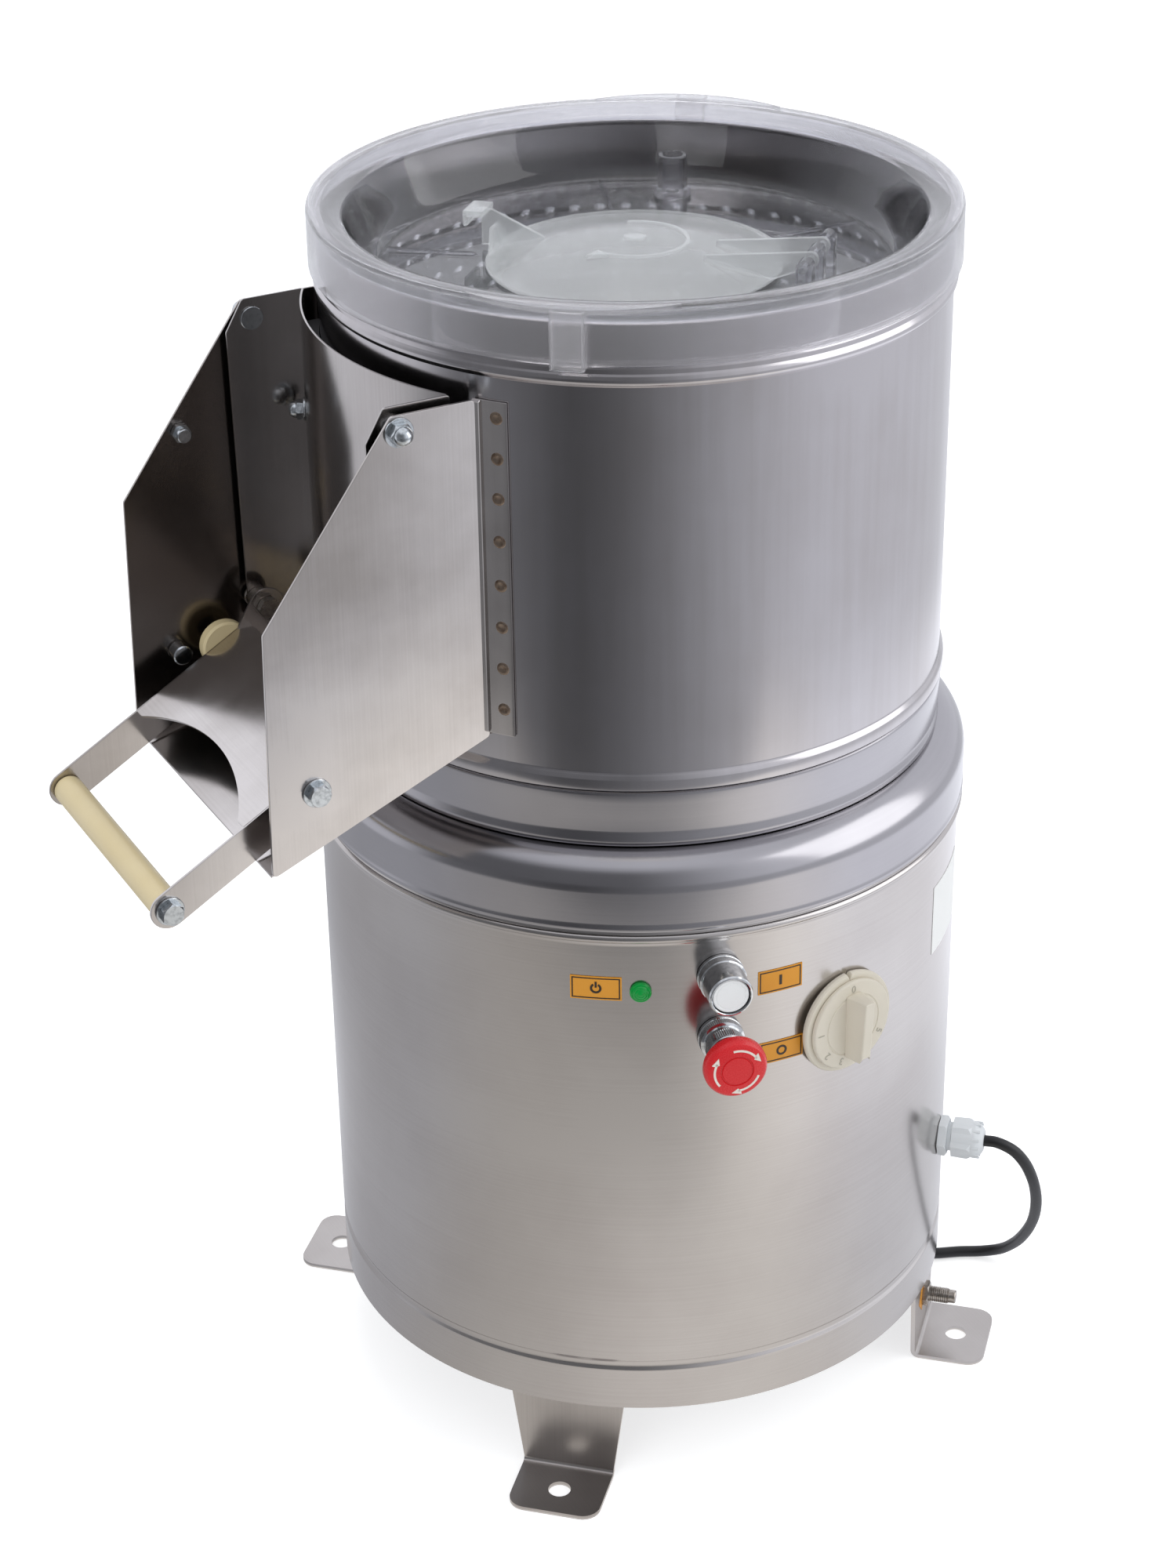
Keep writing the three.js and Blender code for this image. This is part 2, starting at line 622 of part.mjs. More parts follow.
// Door, built around its hinge line
function doorSheet() {
  const z0 = drumFoot + door.foot
  const z1 = drumTop - door.topDrop
  const outer = doorInner + door.sheet
  const ring = revolveZ([[doorInner, z0], [outer, z0], [outer, z1], [doorInner, z1]])
  const skin = common(ring, windowBox(z0 - overrun, z1 + overrun, door.flangeFace))
  const bend = Math.sqrt(outer ** 2 - door.flangeFace ** 2) - door.sheet
  const flange = outline([
    [-bend, z0], [door.footRound - door.flangeFootReach, z0],
    [-door.flangeFootReach, z0 + door.footRound], [-door.flangeReach, z1 - door.browDrop],
    [-door.browReach, z1], [-bend, z1],
  ], [roundHole(-door.hingeReach, hingeLevel, bolt.radius + gap),
    roundHole(-lever.pivotReach, pivotLevel, bolt.radius + gap)])
  const near = plateXZ(flange, -door.flangeFace, door.sheet - door.flangeFace)
  const far = plateXZ(flange, door.flangeFace - door.sheet, door.flangeFace)
  return join(skin, near, far)
}
piece('door', doorSheet(), steel(), machine)

// Turned pins and bolts that run along Y: built outward for the rear side, then turned round
function sidePin(side, reach, level, parts) {
  const body = join(...parts)
  if (side < 0) body.rotateZ(Math.PI)
  return body.translate(-reach, 0, level)
}

const doorFlangeInner = door.flangeFace - door.sheet
const armInner = lever.halfWidth - lever.sheet
const nutSeat = chute.halfWidth + gap
const nutFoot = nutSeat + bolt.washerSheet
const nutTop = nutFoot + bolt.headRise

function hingeParts() {
  const { foot: footShare, tip: tipShare } = bolt.domeShares
  const headTop = doorFlangeInner - gap
  const dome = revolveY([
    [0, nutTop - gap], [bolt.hexRadius * footShare, nutTop - gap],
    [bolt.hexRadius * tipShare, nutTop + bolt.domeRise], [0, nutTop + bolt.domeRise],
  ])
  return [
    rodY(bolt.flatHead, headTop - bolt.flatRise, headTop),
    rodY(bolt.radius, headTop, nutFoot),
    rodY(bolt.shoulder, door.flangeFace + gap, plateInner - gap),
    rodY(bolt.washerRadius, nutSeat, nutFoot),
    rodY(bolt.hexRadius, nutFoot, nutTop, hexSides),
    dome,
  ]
}

function latchParts() {
  const stubEnd = lever.halfWidth + gap + roller.width + runGap * 2
  return [
    rodY(latch.stubRadius, stubEnd, plateInner - gap),
    rodY(bolt.radius, plateInner - gap, nutFoot),
    rodY(bolt.washerRadius, nutSeat, nutFoot),
    rodY(bolt.hexRadius, nutFoot, nutTop, hexSides),
  ]
}

function pivotParts() {
  const headFoot = door.flangeFace + gap
  return [
    rodY(bolt.hexRadius, armInner - gap - bolt.headRise, armInner - gap, hexSides),
    rodY(bolt.radius, armInner - gap, headFoot),
    rodY(bolt.shoulder, lever.halfWidth + gap, doorFlangeInner - gap),
    rodY(bolt.flatHead, headFoot, headFoot + bolt.flatRise * 2),
  ]
}

const sides = [['front', -1], ['rear', 1]]
for (const [name, side] of sides) {
  const hinge = sidePin(side, door.hingeReach, hingeLevel, hingeParts())
  piece(`door_hinge_pin_${name}`, hinge, zinc(), machine)
  const stub = sidePin(side, latchReach, latchLevel, latchParts())
  piece(`latch_pin_${name}`, stub, zinc(), machine)
  const pivot = sidePin(side, lever.pivotReach, pivotLevel, pivotParts())
  piece(`lever_pivot_${name}`, pivot, zinc(), machine)
}

// Lever tray, in its own frame: the pivot is the origin, -X runs down the tray
const leverGroup = new THREE.Group()
leverGroup.position.set(-lever.pivotReach, 0, pivotLevel)
leverGroup.rotation.y = -lever.slope * degree
machine.add(leverGroup)
const gripDrop = lever.armDepth * halfShare

function rollerStud(side) {
  const outer = lever.halfWidth + gap + roller.width
  const stud = join(
    rodY(roller.headRadius, outer - roller.headSink + gap, outer - gap),
    rodY(roller.pinRadius, armInner - roller.pinRadius * halfShare, outer - gap),
  )
  if (side < 0) stud.rotateZ(Math.PI)
  return stud.translate(-roller.along, 0, -roller.below)
}

function leverTray() {
  const arm = new THREE.Shape()
  arm.absarc(0, 0, lever.earRadius, lever.earStart * degree, lever.earEnd * degree, false)
  arm.lineTo(-lever.earRun, 0)
  arm.lineTo(-lever.armLength, 0)
  arm.absarc(-lever.armLength, -gripDrop, gripDrop, quarter, quarter * 3, false)
  arm.lineTo(-lever.heelRun, -lever.armDepth)
  arm.holes = [
    roundHole(0, 0, bolt.radius + gap),
    roundHole(-lever.armLength, -gripDrop, bolt.radius + gap),
  ]
  const armPlate = outline(arm.extractPoints(bendSteps).shape.map(({ x, y }) => [x, y]), arm.holes)
  const front = plateXZ(armPlate, -lever.halfWidth, -armInner)
  const rear = plateXZ(armPlate, armInner, lever.halfWidth)
  const web = box(-lever.webEnd, -lever.webStart, -lever.halfWidth, lever.halfWidth, -lever.sheet, 0)
  const notch = rodZ(lever.notchRadius, -overrun - lever.sheet, overrun, ringSteps)
    .translate(-lever.webEnd - lever.notchRadius + lever.notchDepth, 0, 0)
  const between = box(-lever.notchRadius * 3, 0, -armInner, armInner, -lever.armDepth, overrun)
  return join(cut(web, common(notch, between)), front, rear, rollerStud(-1), rollerStud(1))
}
piece('lever_tray', leverTray(), steel(), leverGroup)

const gripHalf = armInner - gap
const gripSleeve = revolveY([
  [bolt.radius + gap, -gripHalf], [grip.radius - gap, -gripHalf], [grip.radius, gap - gripHalf],
  [grip.radius, gripHalf - gap], [grip.radius - gap, gripHalf], [bolt.radius + gap, gripHalf],
], midSteps)
const gripMesh = piece('handle_grip', gripSleeve, creamPlastic(), leverGroup)
gripMesh.position.set(-lever.armLength, 0, -gripDrop)

function handleBolt() {
  const outside = lever.halfWidth + gap
  const headFoot = outside + bolt.washerSheet
  const headTop = headFoot + bolt.headRise
  return join(
    rodY(bolt.radius, -headFoot, headFoot),
    rodY(bolt.washerRadius, outside, headFoot), rodY(bolt.washerRadius, -headFoot, -outside),
    rodY(bolt.hexRadius, headFoot, headTop, hexSides),
    rodY(bolt.hexRadius, -headTop, -headFoot, hexSides),
  )
}
piece('handle_bolt', handleBolt(), zinc(), leverGroup).position.set(-lever.armLength, 0, -gripDrop)

for (const [name, side] of sides) {
  const inner = lever.halfWidth + gap
  const outer = inner + roller.width
  const edge = roller.pinRadius * halfShare
  const wheel = revolveY([
    [roller.pinRadius + gap, inner], [roller.radius - edge, inner], [roller.radius, inner + edge],
    [roller.radius, outer - edge], [roller.radius - edge, outer], [roller.headRadius + gap, outer],
    [roller.headRadius + gap, outer - roller.headSink], [roller.pinRadius + gap, outer - roller.headSink],
  ], midSteps)
  if (side < 0) wheel.rotateZ(Math.PI)
  piece(`roller_${name}`, wheel, creamPlastic(), leverGroup).position.set(-roller.along, 0, -roller.below)
}

// Lid: one moulding with grip tabs, fine ribs, hinge posts and the water nozzle
function lidBody() {
  const inner = lid.radius - lid.wall
  const rimEdge = lidRim - lid.rimDrop
  const floorUnder = lidFloor - lid.wall
  const seatFace = drumTop + lid.ribDrop + gap
  return revolveZ([
    [inner, drumTop - lid.skirt], [lid.radius, drumTop - lid.skirt], [lid.radius, lidRim - lid.topRound],
    [lid.radius - lid.topRound, lidRim], [lid.rimInner, rimEdge],
    [lid.floorRadius + lid.wallBend, lidFloor + lid.wallBend], [lid.floorRadius, lidFloor],
    [lid.hatchHole, lidFloor], [lid.hatchHole, floorUnder], [lid.floorRadius + lid.topRound, floorUnder],
    [lid.floorRadius + lid.wallBend + lid.wall, lidFloor + lid.wallBend - lid.topRound],
    [lid.rimInner + lid.topRound, rimEdge - lid.wall], [lid.ribInner, seatFace],
    [lid.ribInner, drumTop + gap], [lid.ribOuter, drumTop + gap], [lid.ribOuter, seatFace],
    [inner, seatFace],
  ])
}

function lidTab(turn) {
  const reach = lid.radius + lid.tabStand
  const ledge = rodZ(lid.tabArc, lidRim - lid.tabSheet, lidRim, ringSteps)
    .translate(0, lid.tabArc - reach, 0)
  const ledgeOnly = common(ledge, box(-lid.tabArc, lid.tabArc, -reach - overrun, -lid.ribOuter, 0, lidRim))
  const half = lid.gripWidth * halfShare
  const outer = lid.radius - lid.wall + lid.gripDepth + lid.topRound
  const ribRoot = lid.radius - lid.wall * halfShare
  const ribFoot = lidRim - lid.gripHeight
  const rib = box(-half, half, -outer, -ribRoot, ribFoot, lidRim - lid.tabSheet * halfShare)
  const slotHalf = lid.gripSlot * halfShare
  const slot = box(-slotHalf, slotHalf, lid.wall - outer, -lid.radius - gap, ribFoot - overrun,
    lidRim - lid.tabSheet - lid.wall)
  return cut(join(ledgeOnly, rib), slot).rotateZ(turn * degree)
}

function hatchFrame(geometry) {
  return geometry.rotateZ(hatch.turn * degree)
}

const hingeZ = hatchFoot + hatch.hingeRise

function onHingeLine(radius, x0, x1) {
  return rodX(radius, x0, x1).translate(0, -hatch.hingeReach, hingeZ)
}

function pinRod(radius, half) {
  return onHingeLine(radius, -half, half)
}

function hingePosts() {
  const half = hatch.postWidth * halfShare
  const near = hatch.hingeReach - hatch.knuckleRadius
  const far = hatch.hingeReach + hatch.knuckleRadius
  const posts = [-1, 0, 1].map((place) => {
    const x = place * hatch.postPitch
    const stem = box(x - half, x + half, -far, -near, lidFloor - lid.wall * halfShare, hingeZ)
    return join(stem, onHingeLine(hatch.knuckleRadius, x - half, x + half))
  })
  return hatchFrame(cut(join(...posts), pinRod(hatch.pinRadius + gap, hatch.postPitch * 2)))
}

function lidShell() {
  const [x, y] = polar(nozzle.reach, nozzle.turn)
  const root = lidFloor - lid.wall * halfShare
  const top = lidFloor + nozzle.rise
  const tube = join(rodZ(nozzle.radius, root, top),
    rodZ(nozzle.collarRadius, root, lidFloor + nozzle.collarRise)).translate(x, y, 0)
  const bore = rodZ(nozzle.bore, lidFloor - lid.wall - overrun, top + overrun).translate(x, y, 0)
  const whole = join(lidBody(), lidTab(lid.tabTurn), lidTab(lid.tabTurn + halfTurn), hingePosts(), tube)
  return cut(whole, bore)
}
piece('lid_shell', lidShell(), clearPlastic(), machine)

// Hatch: a shallow dome with two hinge fins and a latch fin with a T-shaped thumb bar
function domeArc(radius, low, rise, steps) {
  const sphere = (radius ** 2 + rise ** 2) / (rise * 2)
  const span = Math.asin(radius / sphere)
  const points = []
  for (let i = 0; i <= steps; i += 1) {
    const angle = span * (1 - i / steps)
    points.push([sphere * Math.sin(angle), low + rise - sphere * (1 - Math.cos(angle))])
  }
  points[steps][0] = 0
  return points
}

function hatchCover() {
  const rimTop = hatchFoot + hatch.rim
  const upper = domeArc(hatch.domeRadius, rimTop, hatch.domeRise, bendSteps)
  const lower = domeArc(hatch.domeRadius - hatch.wall, hatchFoot, hatch.domeRise, bendSteps - 1).reverse()
  const dome = revolveZ([...lower, [hatch.radius, hatchFoot], [hatch.radius, rimTop], ...upper], domeSteps)
  const eyeTop = hingeZ + hatch.knuckleRadius
  const parts = [dome]
  for (const place of [-1, 1]) {
    const x0 = place * hatch.finOffset - hatch.finSheet * halfShare
    const x1 = x0 + hatch.finSheet
    const fin = outline([
      [-hatch.finReach, rimTop], [-hatch.hingeReach, rimTop + hatch.wall],
      [-hatch.hingeReach, eyeTop], [-hatch.finReach, hatchFoot + hatch.domeRise],
    ])
    const blade = plateXZ(fin, 0, hatch.finSheet).rotateZ(quarter).translate(x1, 0, 0)
    parts.push(blade, onHingeLine(hatch.knuckleRadius, x0, x1))
  }
  const latchTop = hatchFoot + hatch.latchRise
  const fin = outline([
    [-hatch.latchInner, rimTop], [-hatch.latchReach, rimTop], [-hatch.latchReach, latchTop],
    [-hatch.latchInner, hatchFoot + hatch.domeRise * hatch.latchFootShare],
  ])
  const half = hatch.latchSheet * halfShare
  const blade = plateXZ(fin, -half, half).rotateZ(-quarter)
  const barHalf = hatch.latchBarWidth * halfShare
  const barEnd = hatch.latchReach + hatch.latchBarDepth
  const bar = box(-barHalf, barHalf, hatch.latchReach - hatch.finSheet, barEnd,
    latchTop - hatch.latchBarSheet, latchTop)
  parts.push(blade, bar)
  return hatchFrame(cut(join(...parts), pinRod(hatch.pinRadius + gap, hatch.postPitch * 2)))
}
piece('hatch', hatchCover(), milkPlastic(), machine)

const pinHalf = hatch.postPitch + hatch.postWidth
piece('hatch_pin', hatchFrame(pinRod(hatch.pinRadius, pinHalf)), clearPlastic(), machine)

// Drive train inside the base
function motorBody() {
  const top = deck.level - gap
  const low = top - motor.length
  const flangeFoot = top - motor.flangeRise
  const bore = motor.shaftRadius + gap
  const boreFoot = top - motor.endRound * 4
  return revolveZ([
    [0, low], [motor.radius - motor.endRound * 2, low], [motor.radius, low + motor.endRound],
    [motor.radius, flangeFoot], [motor.flange, flangeFoot], [motor.flange, top],
    [bore, top], [bore, boreFoot], [0, boreFoot],
  ], midSteps).translate(motor.offset, 0, 0)
}
piece('motor_body', motorBody(), castGrey(), machine)

const grooveHalf = belt.width * halfShare + belt.clearance
const grooveDepth = belt.height * halfShare + belt.clearance

function groovedWheel(radius, bore, topBore) {
  const rim = radius + belt.height * halfShare + gap
  const low = belt.level - grooveHalf - belt.rimWall
  const high = belt.level + grooveHalf + belt.rimWall
  const floor = radius - grooveDepth
  return revolveZ([
    [bore, low], [rim, low], [rim, belt.level - grooveHalf], [floor, belt.level - grooveHalf],
    [floor, belt.level + grooveHalf], [rim, belt.level + grooveHalf], [rim, high], [topBore, high],
    ...(topBore === 0 ? [[0, low]] : []),
  ], midSteps)
}

function motorPulley() {
  const shaftFoot = deck.level - motor.endRound * 3
  const spindle = rodZ(motor.shaftRadius, shaftFoot, belt.level, midSteps)
  return join(groovedWheel(belt.drivingRadius, 0, 0), spindle).translate(motor.offset, 0, 0)
}
piece('motor_pulley', motorPulley(), castGrey(), machine)

const shaftBore = shaft.radius + gap
piece('driven_pulley', groovedWheel(belt.drivenRadius, shaftBore, shaftBore), castGrey(), machine)

function beltLoop(offset, path) {
  const big = belt.drivenRadius + offset
  const small = belt.drivingRadius + offset
  const lean = Math.acos((belt.drivenRadius - belt.drivingRadius) / motor.offset)
  path.absarc(0, 0, big, lean, Math.PI * 2 - lean, false)
  path.absarc(motor.offset, 0, small, -lean, lean, false)
  path.closePath()
  return path
}

const beltHalf = belt.height * halfShare
const beltShape = beltLoop(beltHalf, new THREE.Shape())
beltShape.holes = [beltLoop(-beltHalf, new THREE.Path())]
const beltLow = belt.level - belt.width * halfShare
const beltSolid = plateXY(beltShape, beltLow, beltLow + belt.width, beltSteps)
piece('drive_belt', beltSolid, rubber(), machine)

const driveShaft = revolveZ([
  [0, shaft.foot], [shaft.radius, shaft.foot], [shaft.radius, discTop], [shaft.threadRadius, discTop],
  [shaft.threadRadius, discTop + shaft.threadRise], [0, discTop + shaft.threadRise],
], midSteps)
piece('drive_shaft', driveShaft, zinc(), machine)

for (const [name, low] of [['bearing_lower', bearing.lowLevel], ['bearing_upper', bearing.highLevel]]) {
  piece(name, sleeve(shaftBore, bearing.radius, low, low + bearing.width), polished(), machine)
}

function bearingHousing() {
  const bore = bearing.radius + gap
  const outer = bore + housing.wall
  const top = panLevel - gap
  return revolveZ([
    [housing.lipRadius, housing.foot], [outer, housing.foot], [outer, top - housing.flangeSheet],
    [housing.flange, top - housing.flangeSheet], [housing.flange, top], [bore, top],
    [bore, housing.foot + housing.lipRise], [housing.lipRadius, housing.foot + housing.lipRise],
  ], midSteps)
}
piece('bearing_housing', bearingHousing(), castGrey(), machine)

const sealFoot = bearing.highLevel + bearing.width + gap
const sealSolid = sleeve(shaftBore, bearing.radius, sealFoot, panLevel - gap)
piece('shaft_seal', sealSolid, rubber(), machine)

function abrasiveDisc() {
  const under = discTop - disc.sheet
  const plate = revolveZ([
    [0, under], [disc.radius, under], [disc.radius, discTop - disc.edge],
    [disc.radius - disc.edge, discTop], [0, discTop],
  ])
  const hub = sleeve(shaftBore, disc.hubRadius, under - disc.hubDrop, discTop)
  const parts = [hub, cut(plate, rodZ(shaftBore, under - overrun, discTop + overrun, midSteps))]
  for (let i = 0; i < disc.lobeCount; i += 1) {
    const lobe = new THREE.CylinderGeometry(1, 1, 1, pinSteps).rotateZ(quarter)
    lobe.scale(disc.radius * disc.lobeShares.length, disc.lobeWidth * halfShare, disc.lobeRise)
    lobe.translate(disc.radius * disc.lobeShares.spot, 0, discTop - gap)
    parts.push(lobe.rotateZ((i * fullTurn * degree) / disc.lobeCount))
  }
  const half = disc.paddleSheet * halfShare
  for (let i = 0; i < disc.paddleCount; i += 1) {
    const paddle = box(disc.paddleStart, disc.paddleEnd, -half, half, under - disc.paddleDrop, under + gap)
    parts.push(paddle.rotateZ((i * fullTurn * degree) / disc.paddleCount))
  }
  const nutSpace = rodZ(discNut.radius + runGap, discTop, discTop + discNut.rise * 2)
  const above = box(-disc.radius, disc.radius, -disc.radius, disc.radius, under - disc.paddleDrop,
    discTop + disc.lobeRise * 2)
  return common(cut(join(...parts), nutSpace), above)
}
piece('abrasive_disc', abrasiveDisc(), abrasive(), machine)

function capNut() {
  const low = discTop + gap
  const top = low + discNut.rise
  const body = revolveZ([
    [0, low], [discNut.radius, low], [discNut.radius, low + discNut.rise * halfShare],
    [discNut.radius * halfShare, top], [0, top],
  ], midSteps)
  const threadTop = low + shaft.threadRise + gap
  return cut(body, rodZ(shaft.threadRadius + gap, low - overrun, threadTop, midSteps))
}
piece('disc_nut', capNut(), zinc(), machine)

// Drain: a bent pipe from the pan down and out through the back of the base shell
function drainSpout() {
  const [x, y] = polar(1, drain.turn)
  const at = (reach, z) => new THREE.Vector3(x * reach, y * reach, z)
  const top = at(drain.panReach, panLevel - gap)
  const bendTop = at(drain.panReach, drain.level + drain.bendRadius)
  const corner = at(drain.panReach, drain.level)
  const bendEnd = at(drain.panReach + drain.bendRadius, drain.level)
  const path = new THREE.CurvePath()
  path.add(new THREE.LineCurve3(top, bendTop))
  path.add(new THREE.QuadraticBezierCurve3(bendTop, corner, bendEnd))
  path.add(new THREE.LineCurve3(bendEnd, at(drain.mouthReach, drain.level)))
  const rim = new THREE.Shape().absarc(0, 0, drain.radius, 0, Math.PI * 2, false)
  rim.holes = [roundHole(0, 0, drain.radius - drain.wall)]
  const steps = bendSteps * 2
  return new THREE.ExtrudeGeometry(rim, { steps, curveSegments: pipeSteps, extrudePath: path })
}
piece('drain_spout', toGeometry(toSolid(drainSpout())), steel(), machine)

// Controls, each in a group whose +Z points out of the base shell
const pilotGroup = radialGroup(machine, base.radius, pilot.turn, pilot.level)

function pilotLamp() {
  const { radius, rise, stemRadius, stemLength, domeShares } = pilot
  return revolveZ([
    [0, -stemLength], [stemRadius, -stemLength], [stemRadius, gap], [radius, gap],
    [radius, rise * halfShare], [radius * domeShares.radius, rise * domeShares.rise], [0, rise],
  ], midSteps)
}
piece('pilot_lamp', pilotLamp(), green(), pilotGroup)

const startGroup = radialGroup(machine, base.radius, startButton.turn, startButton.level)

function startBezel() {
  const { ringRadius, ringRise, radius, rise, neckRadius, neckLength, floorRise } = startButton
  const bore = startButton.stemRadius + gap
  const well = startButton.capRadius + runGap
  return revolveZ([
    [bore, -neckLength], [neckRadius, -neckLength], [neckRadius, gap], [ringRadius, gap],
    [ringRadius, ringRise], [radius, ringRise + gap], [radius, rise - gap], [radius - gap, rise],
    [well, rise], [well, floorRise], [bore, floorRise],
  ], midSteps)
}
piece('start_bezel', startBezel(), polished(), startGroup)

function startCap() {
  const { capRadius, capLength, neckLength, stemRadius } = startButton
  const top = startButton.rise - startButton.capSink
  const under = top - capLength
  return revolveZ([
    [0, -neckLength], [stemRadius, -neckLength], [stemRadius, under], [capRadius, under],
    [capRadius, top - gap], [capRadius - gap, top], [0, top],
  ], midSteps)
}
piece('start_button', startCap(), white(), startGroup)

const stopGroup = radialGroup(machine, base.radius, stopButton.turn, stopButton.level)
const stemTop = stopButton.headBack + stopButton.headRound

function stopCollar() {
  const { ringRadius, ringRise, collarRadius, collarRise } = stopButton
  const { neckRadius, neckLength } = startButton
  const bore = stopButton.stemRadius + gap
  return revolveZ([
    [bore, -neckLength], [neckRadius, -neckLength], [neckRadius, gap], [ringRadius, gap],
    [ringRadius, ringRise], [collarRadius, ringRise + gap], [collarRadius, collarRise],
    [bore, collarRise],
  ], midSteps)
}
piece('stop_collar', stopCollar(), polished(), stopGroup)
piece('stop_stem', rodZ(stopButton.stemRadius, -startButton.neckLength, stemTop), zinc(), stopGroup)

function mushroom() {
  const { headRadius, headBack, headFront, headRound, skirtRadius } = stopButton
  const { side, edge } = stopButton.roundShares
  const body = revolveZ([
    [0, headBack], [skirtRadius, headBack], [headRadius - gap, stemTop],
    [headRadius, headBack + headRound * side], [headRadius, headFront - headRound],
    [headRadius - headRound * edge, headFront - headRound * edge],
    [headRadius - headRound, headFront], [0, headFront + gap],
  ], midSteps)
  return cut(body, rodZ(stopButton.stemRadius + gap, headBack - overrun, stemTop + gap))
}
piece('stop_head', mushroom(), red(), stopGroup)

const switchGroup = radialGroup(machine, base.radius, knobSwitch.turn, knobSwitch.level)

function switchPlate() {
  const { plateRadius, plateRise, notchRadius } = knobSwitch
  const bore = knobSwitch.shaftRadius + gap
  const plate = revolveZ([
    [bore, gap], [plateRadius, gap], [plateRadius, plateRise - gap * 2],
    [plateRadius - gap * 2, plateRise], [bore, plateRise],
  ], domeSteps)
  const notch = rodZ(notchRadius, -overrun, plateRise + overrun).translate(0, plateRadius + gap, 0)
  return cut(plate, notch)
}
piece('switch_plate', switchPlate(), greyPlastic(), switchGroup)

function switchKnob() {
  const { dialRadius, dialRise, wingRise } = knobSwitch
  const dialFoot = knobSwitch.plateRise + gap
  const dial = revolveZ([
    [0, dialFoot], [dialRadius, dialFoot], [dialRadius - gap * 2, dialRise], [0, dialRise],
  ], domeSteps)
  const half = knobSwitch.wingWidth * halfShare
  const topHalf = half * knobSwitch.wingTopShare
  const reach = knobSwitch.wingLength * halfShare
  const wing = outline([
    [-half, dialRise - gap], [-topHalf, wingRise], [topHalf, wingRise], [half, dialRise - gap],
  ])
  const rounded = common(plateXZ(wing, -reach, reach), rodZ(reach, 0, wingRise + overrun, midSteps))
  const spindle = rodZ(knobSwitch.shaftRadius, -knobSwitch.setback - gap, dialRise)
  return join(dial, rounded, spindle)
}
piece('switch_knob', switchKnob(), greyPlastic(), switchGroup)

function switchBody() {
  const half = knobSwitch.bodyWidth * halfShare
  const front = -knobSwitch.setback
  const body = box(-half, half, -half, half, front - knobSwitch.bodyDepth, front)
  const neckPart = rodZ(knobSwitch.neckRadius, front - overrun, 0)
  return cut(join(body, neckPart), rodZ(knobSwitch.shaftRadius + gap, front - overrun, overrun))
}
piece('switch_body', switchBody(), castGrey(), switchGroup)

// Cable gland and earth stud
const glandGroup = radialGroup(machine, base.radius, gland.turn, gland.level)
const cordBore = cord.radius + gap

function glandBody() {
  const lockTop = -base.wall - gap * 4
  const hexFoot = gap
  return cut(join(
    rodZ(gland.threadRadius, lockTop - gland.lockRise * 2, gland.nutStart - gap),
    rodZ(gland.hexRadius, lockTop - gland.lockRise, lockTop, hexSides),
    rodZ(gland.hexRadius, hexFoot, hexFoot + gland.hexRise, hexSides),
  ), rodZ(cordBore, lockTop - gland.lockRise * 3, gland.nutEnd))
}
piece('gland_body', glandBody(), greyPlastic(), glandGroup)

function glandNut() {
  const { hexRadius, nutStart, nutShoulder, nutEnd } = gland
  const footRadius = hexRadius * gland.domeShares.foot
  const middleRadius = hexRadius * gland.domeShares.middle
  const hexPart = rodZ(hexRadius, nutStart, nutShoulder, hexSides)
  const dome = revolveZ([
    [0, nutStart], [footRadius, nutStart], [footRadius, nutShoulder],
    [middleRadius, (nutShoulder + nutEnd) * halfShare], [gland.tipRadius, nutEnd], [0, nutEnd],
  ], midSteps)
  return cut(join(hexPart, dome), rodZ(cordBore, 0, nutEnd + overrun))
}
piece('gland_nut', glandNut(), greyPlastic(), glandGroup)

const earthGroup = radialGroup(machine, foot.legFace, foot.turn, earth.level)

function earthStud() {
  const inner = -foot.sheet - gap
  return join(
    rodZ(earth.nutRadius, inner - earth.nutRise, inner, hexSides),
    rodZ(earth.radius, inner - gap, earth.length),
    rodZ(earth.tipRadius, earth.length - gap, earth.length + earth.tipLength),
  )
}
piece('earth_stud', earthStud(), zinc(), earthGroup)

function earthNut() {
  const hexagon = rodZ(earth.nutRadius, gap, gap + earth.nutRise, hexSides)
  return cut(hexagon, rodZ(earth.radius + gap, -overrun, earth.nutRise * 2))
}
piece('earth_nut', earthNut(), zinc(), earthGroup)

// Cord from the gland to the floor and under the base to the coil
const glandEnd = base.radius + gland.nutEnd + gap
const [exitX, exitY] = polar(glandEnd, gland.turn)
const straightOut = (distance) => {
  const [x, y] = polar(glandEnd + distance, gland.turn)
  return [x, y, gland.level]
}
const restZ = floorZ + cord.radius
const coilOuter = coil.innerRadius + coil.pitch * coil.turns * halfShare
const coilStart = [coil.centreX + coilOuter, coil.centreY - coil.straight - gap, restZ]
const leadRoute = [
  [exitX, exitY, gland.level], straightOut(cord.straight), ...cordHangs,
  ...cordRests.map(([x, y]) => [x, y, restZ]), coilStart,
]

function tube(points, steps, radius, sides) {
  const places = points.map(([x, y, z]) => new THREE.Vector3(x, y, z))
  const curve = new THREE.CatmullRomCurve3(places, false, 'centripetal')
  const section = new THREE.Shape()
  for (let i = 0; i < sides; i += 1) {
    const angle = ((i + halfShare) * Math.PI * 2) / sides
    section[i === 0 ? 'moveTo' : 'lineTo'](radius * Math.cos(angle), radius * Math.sin(angle))
  }
  return new THREE.ExtrudeGeometry(section, { steps, extrudePath: curve })
}

function liftToFloor(geometry) {
  geometry.computeBoundingBox()
  const under = floorZ - geometry.boundingBox.min.z
  return under > 0 ? geometry.translate(0, 0, under) : geometry
}
const lead = liftToFloor(tube(leadRoute, cord.steps, cord.radius, cord.sides))
piece('cord_lead', toGeometry(toSolid(lead)), rubber(), machine)

// Coil: spirals in on the floor, climbs a layer where the spiral turns back, and spirals out
const middle = coil.turns * halfShare

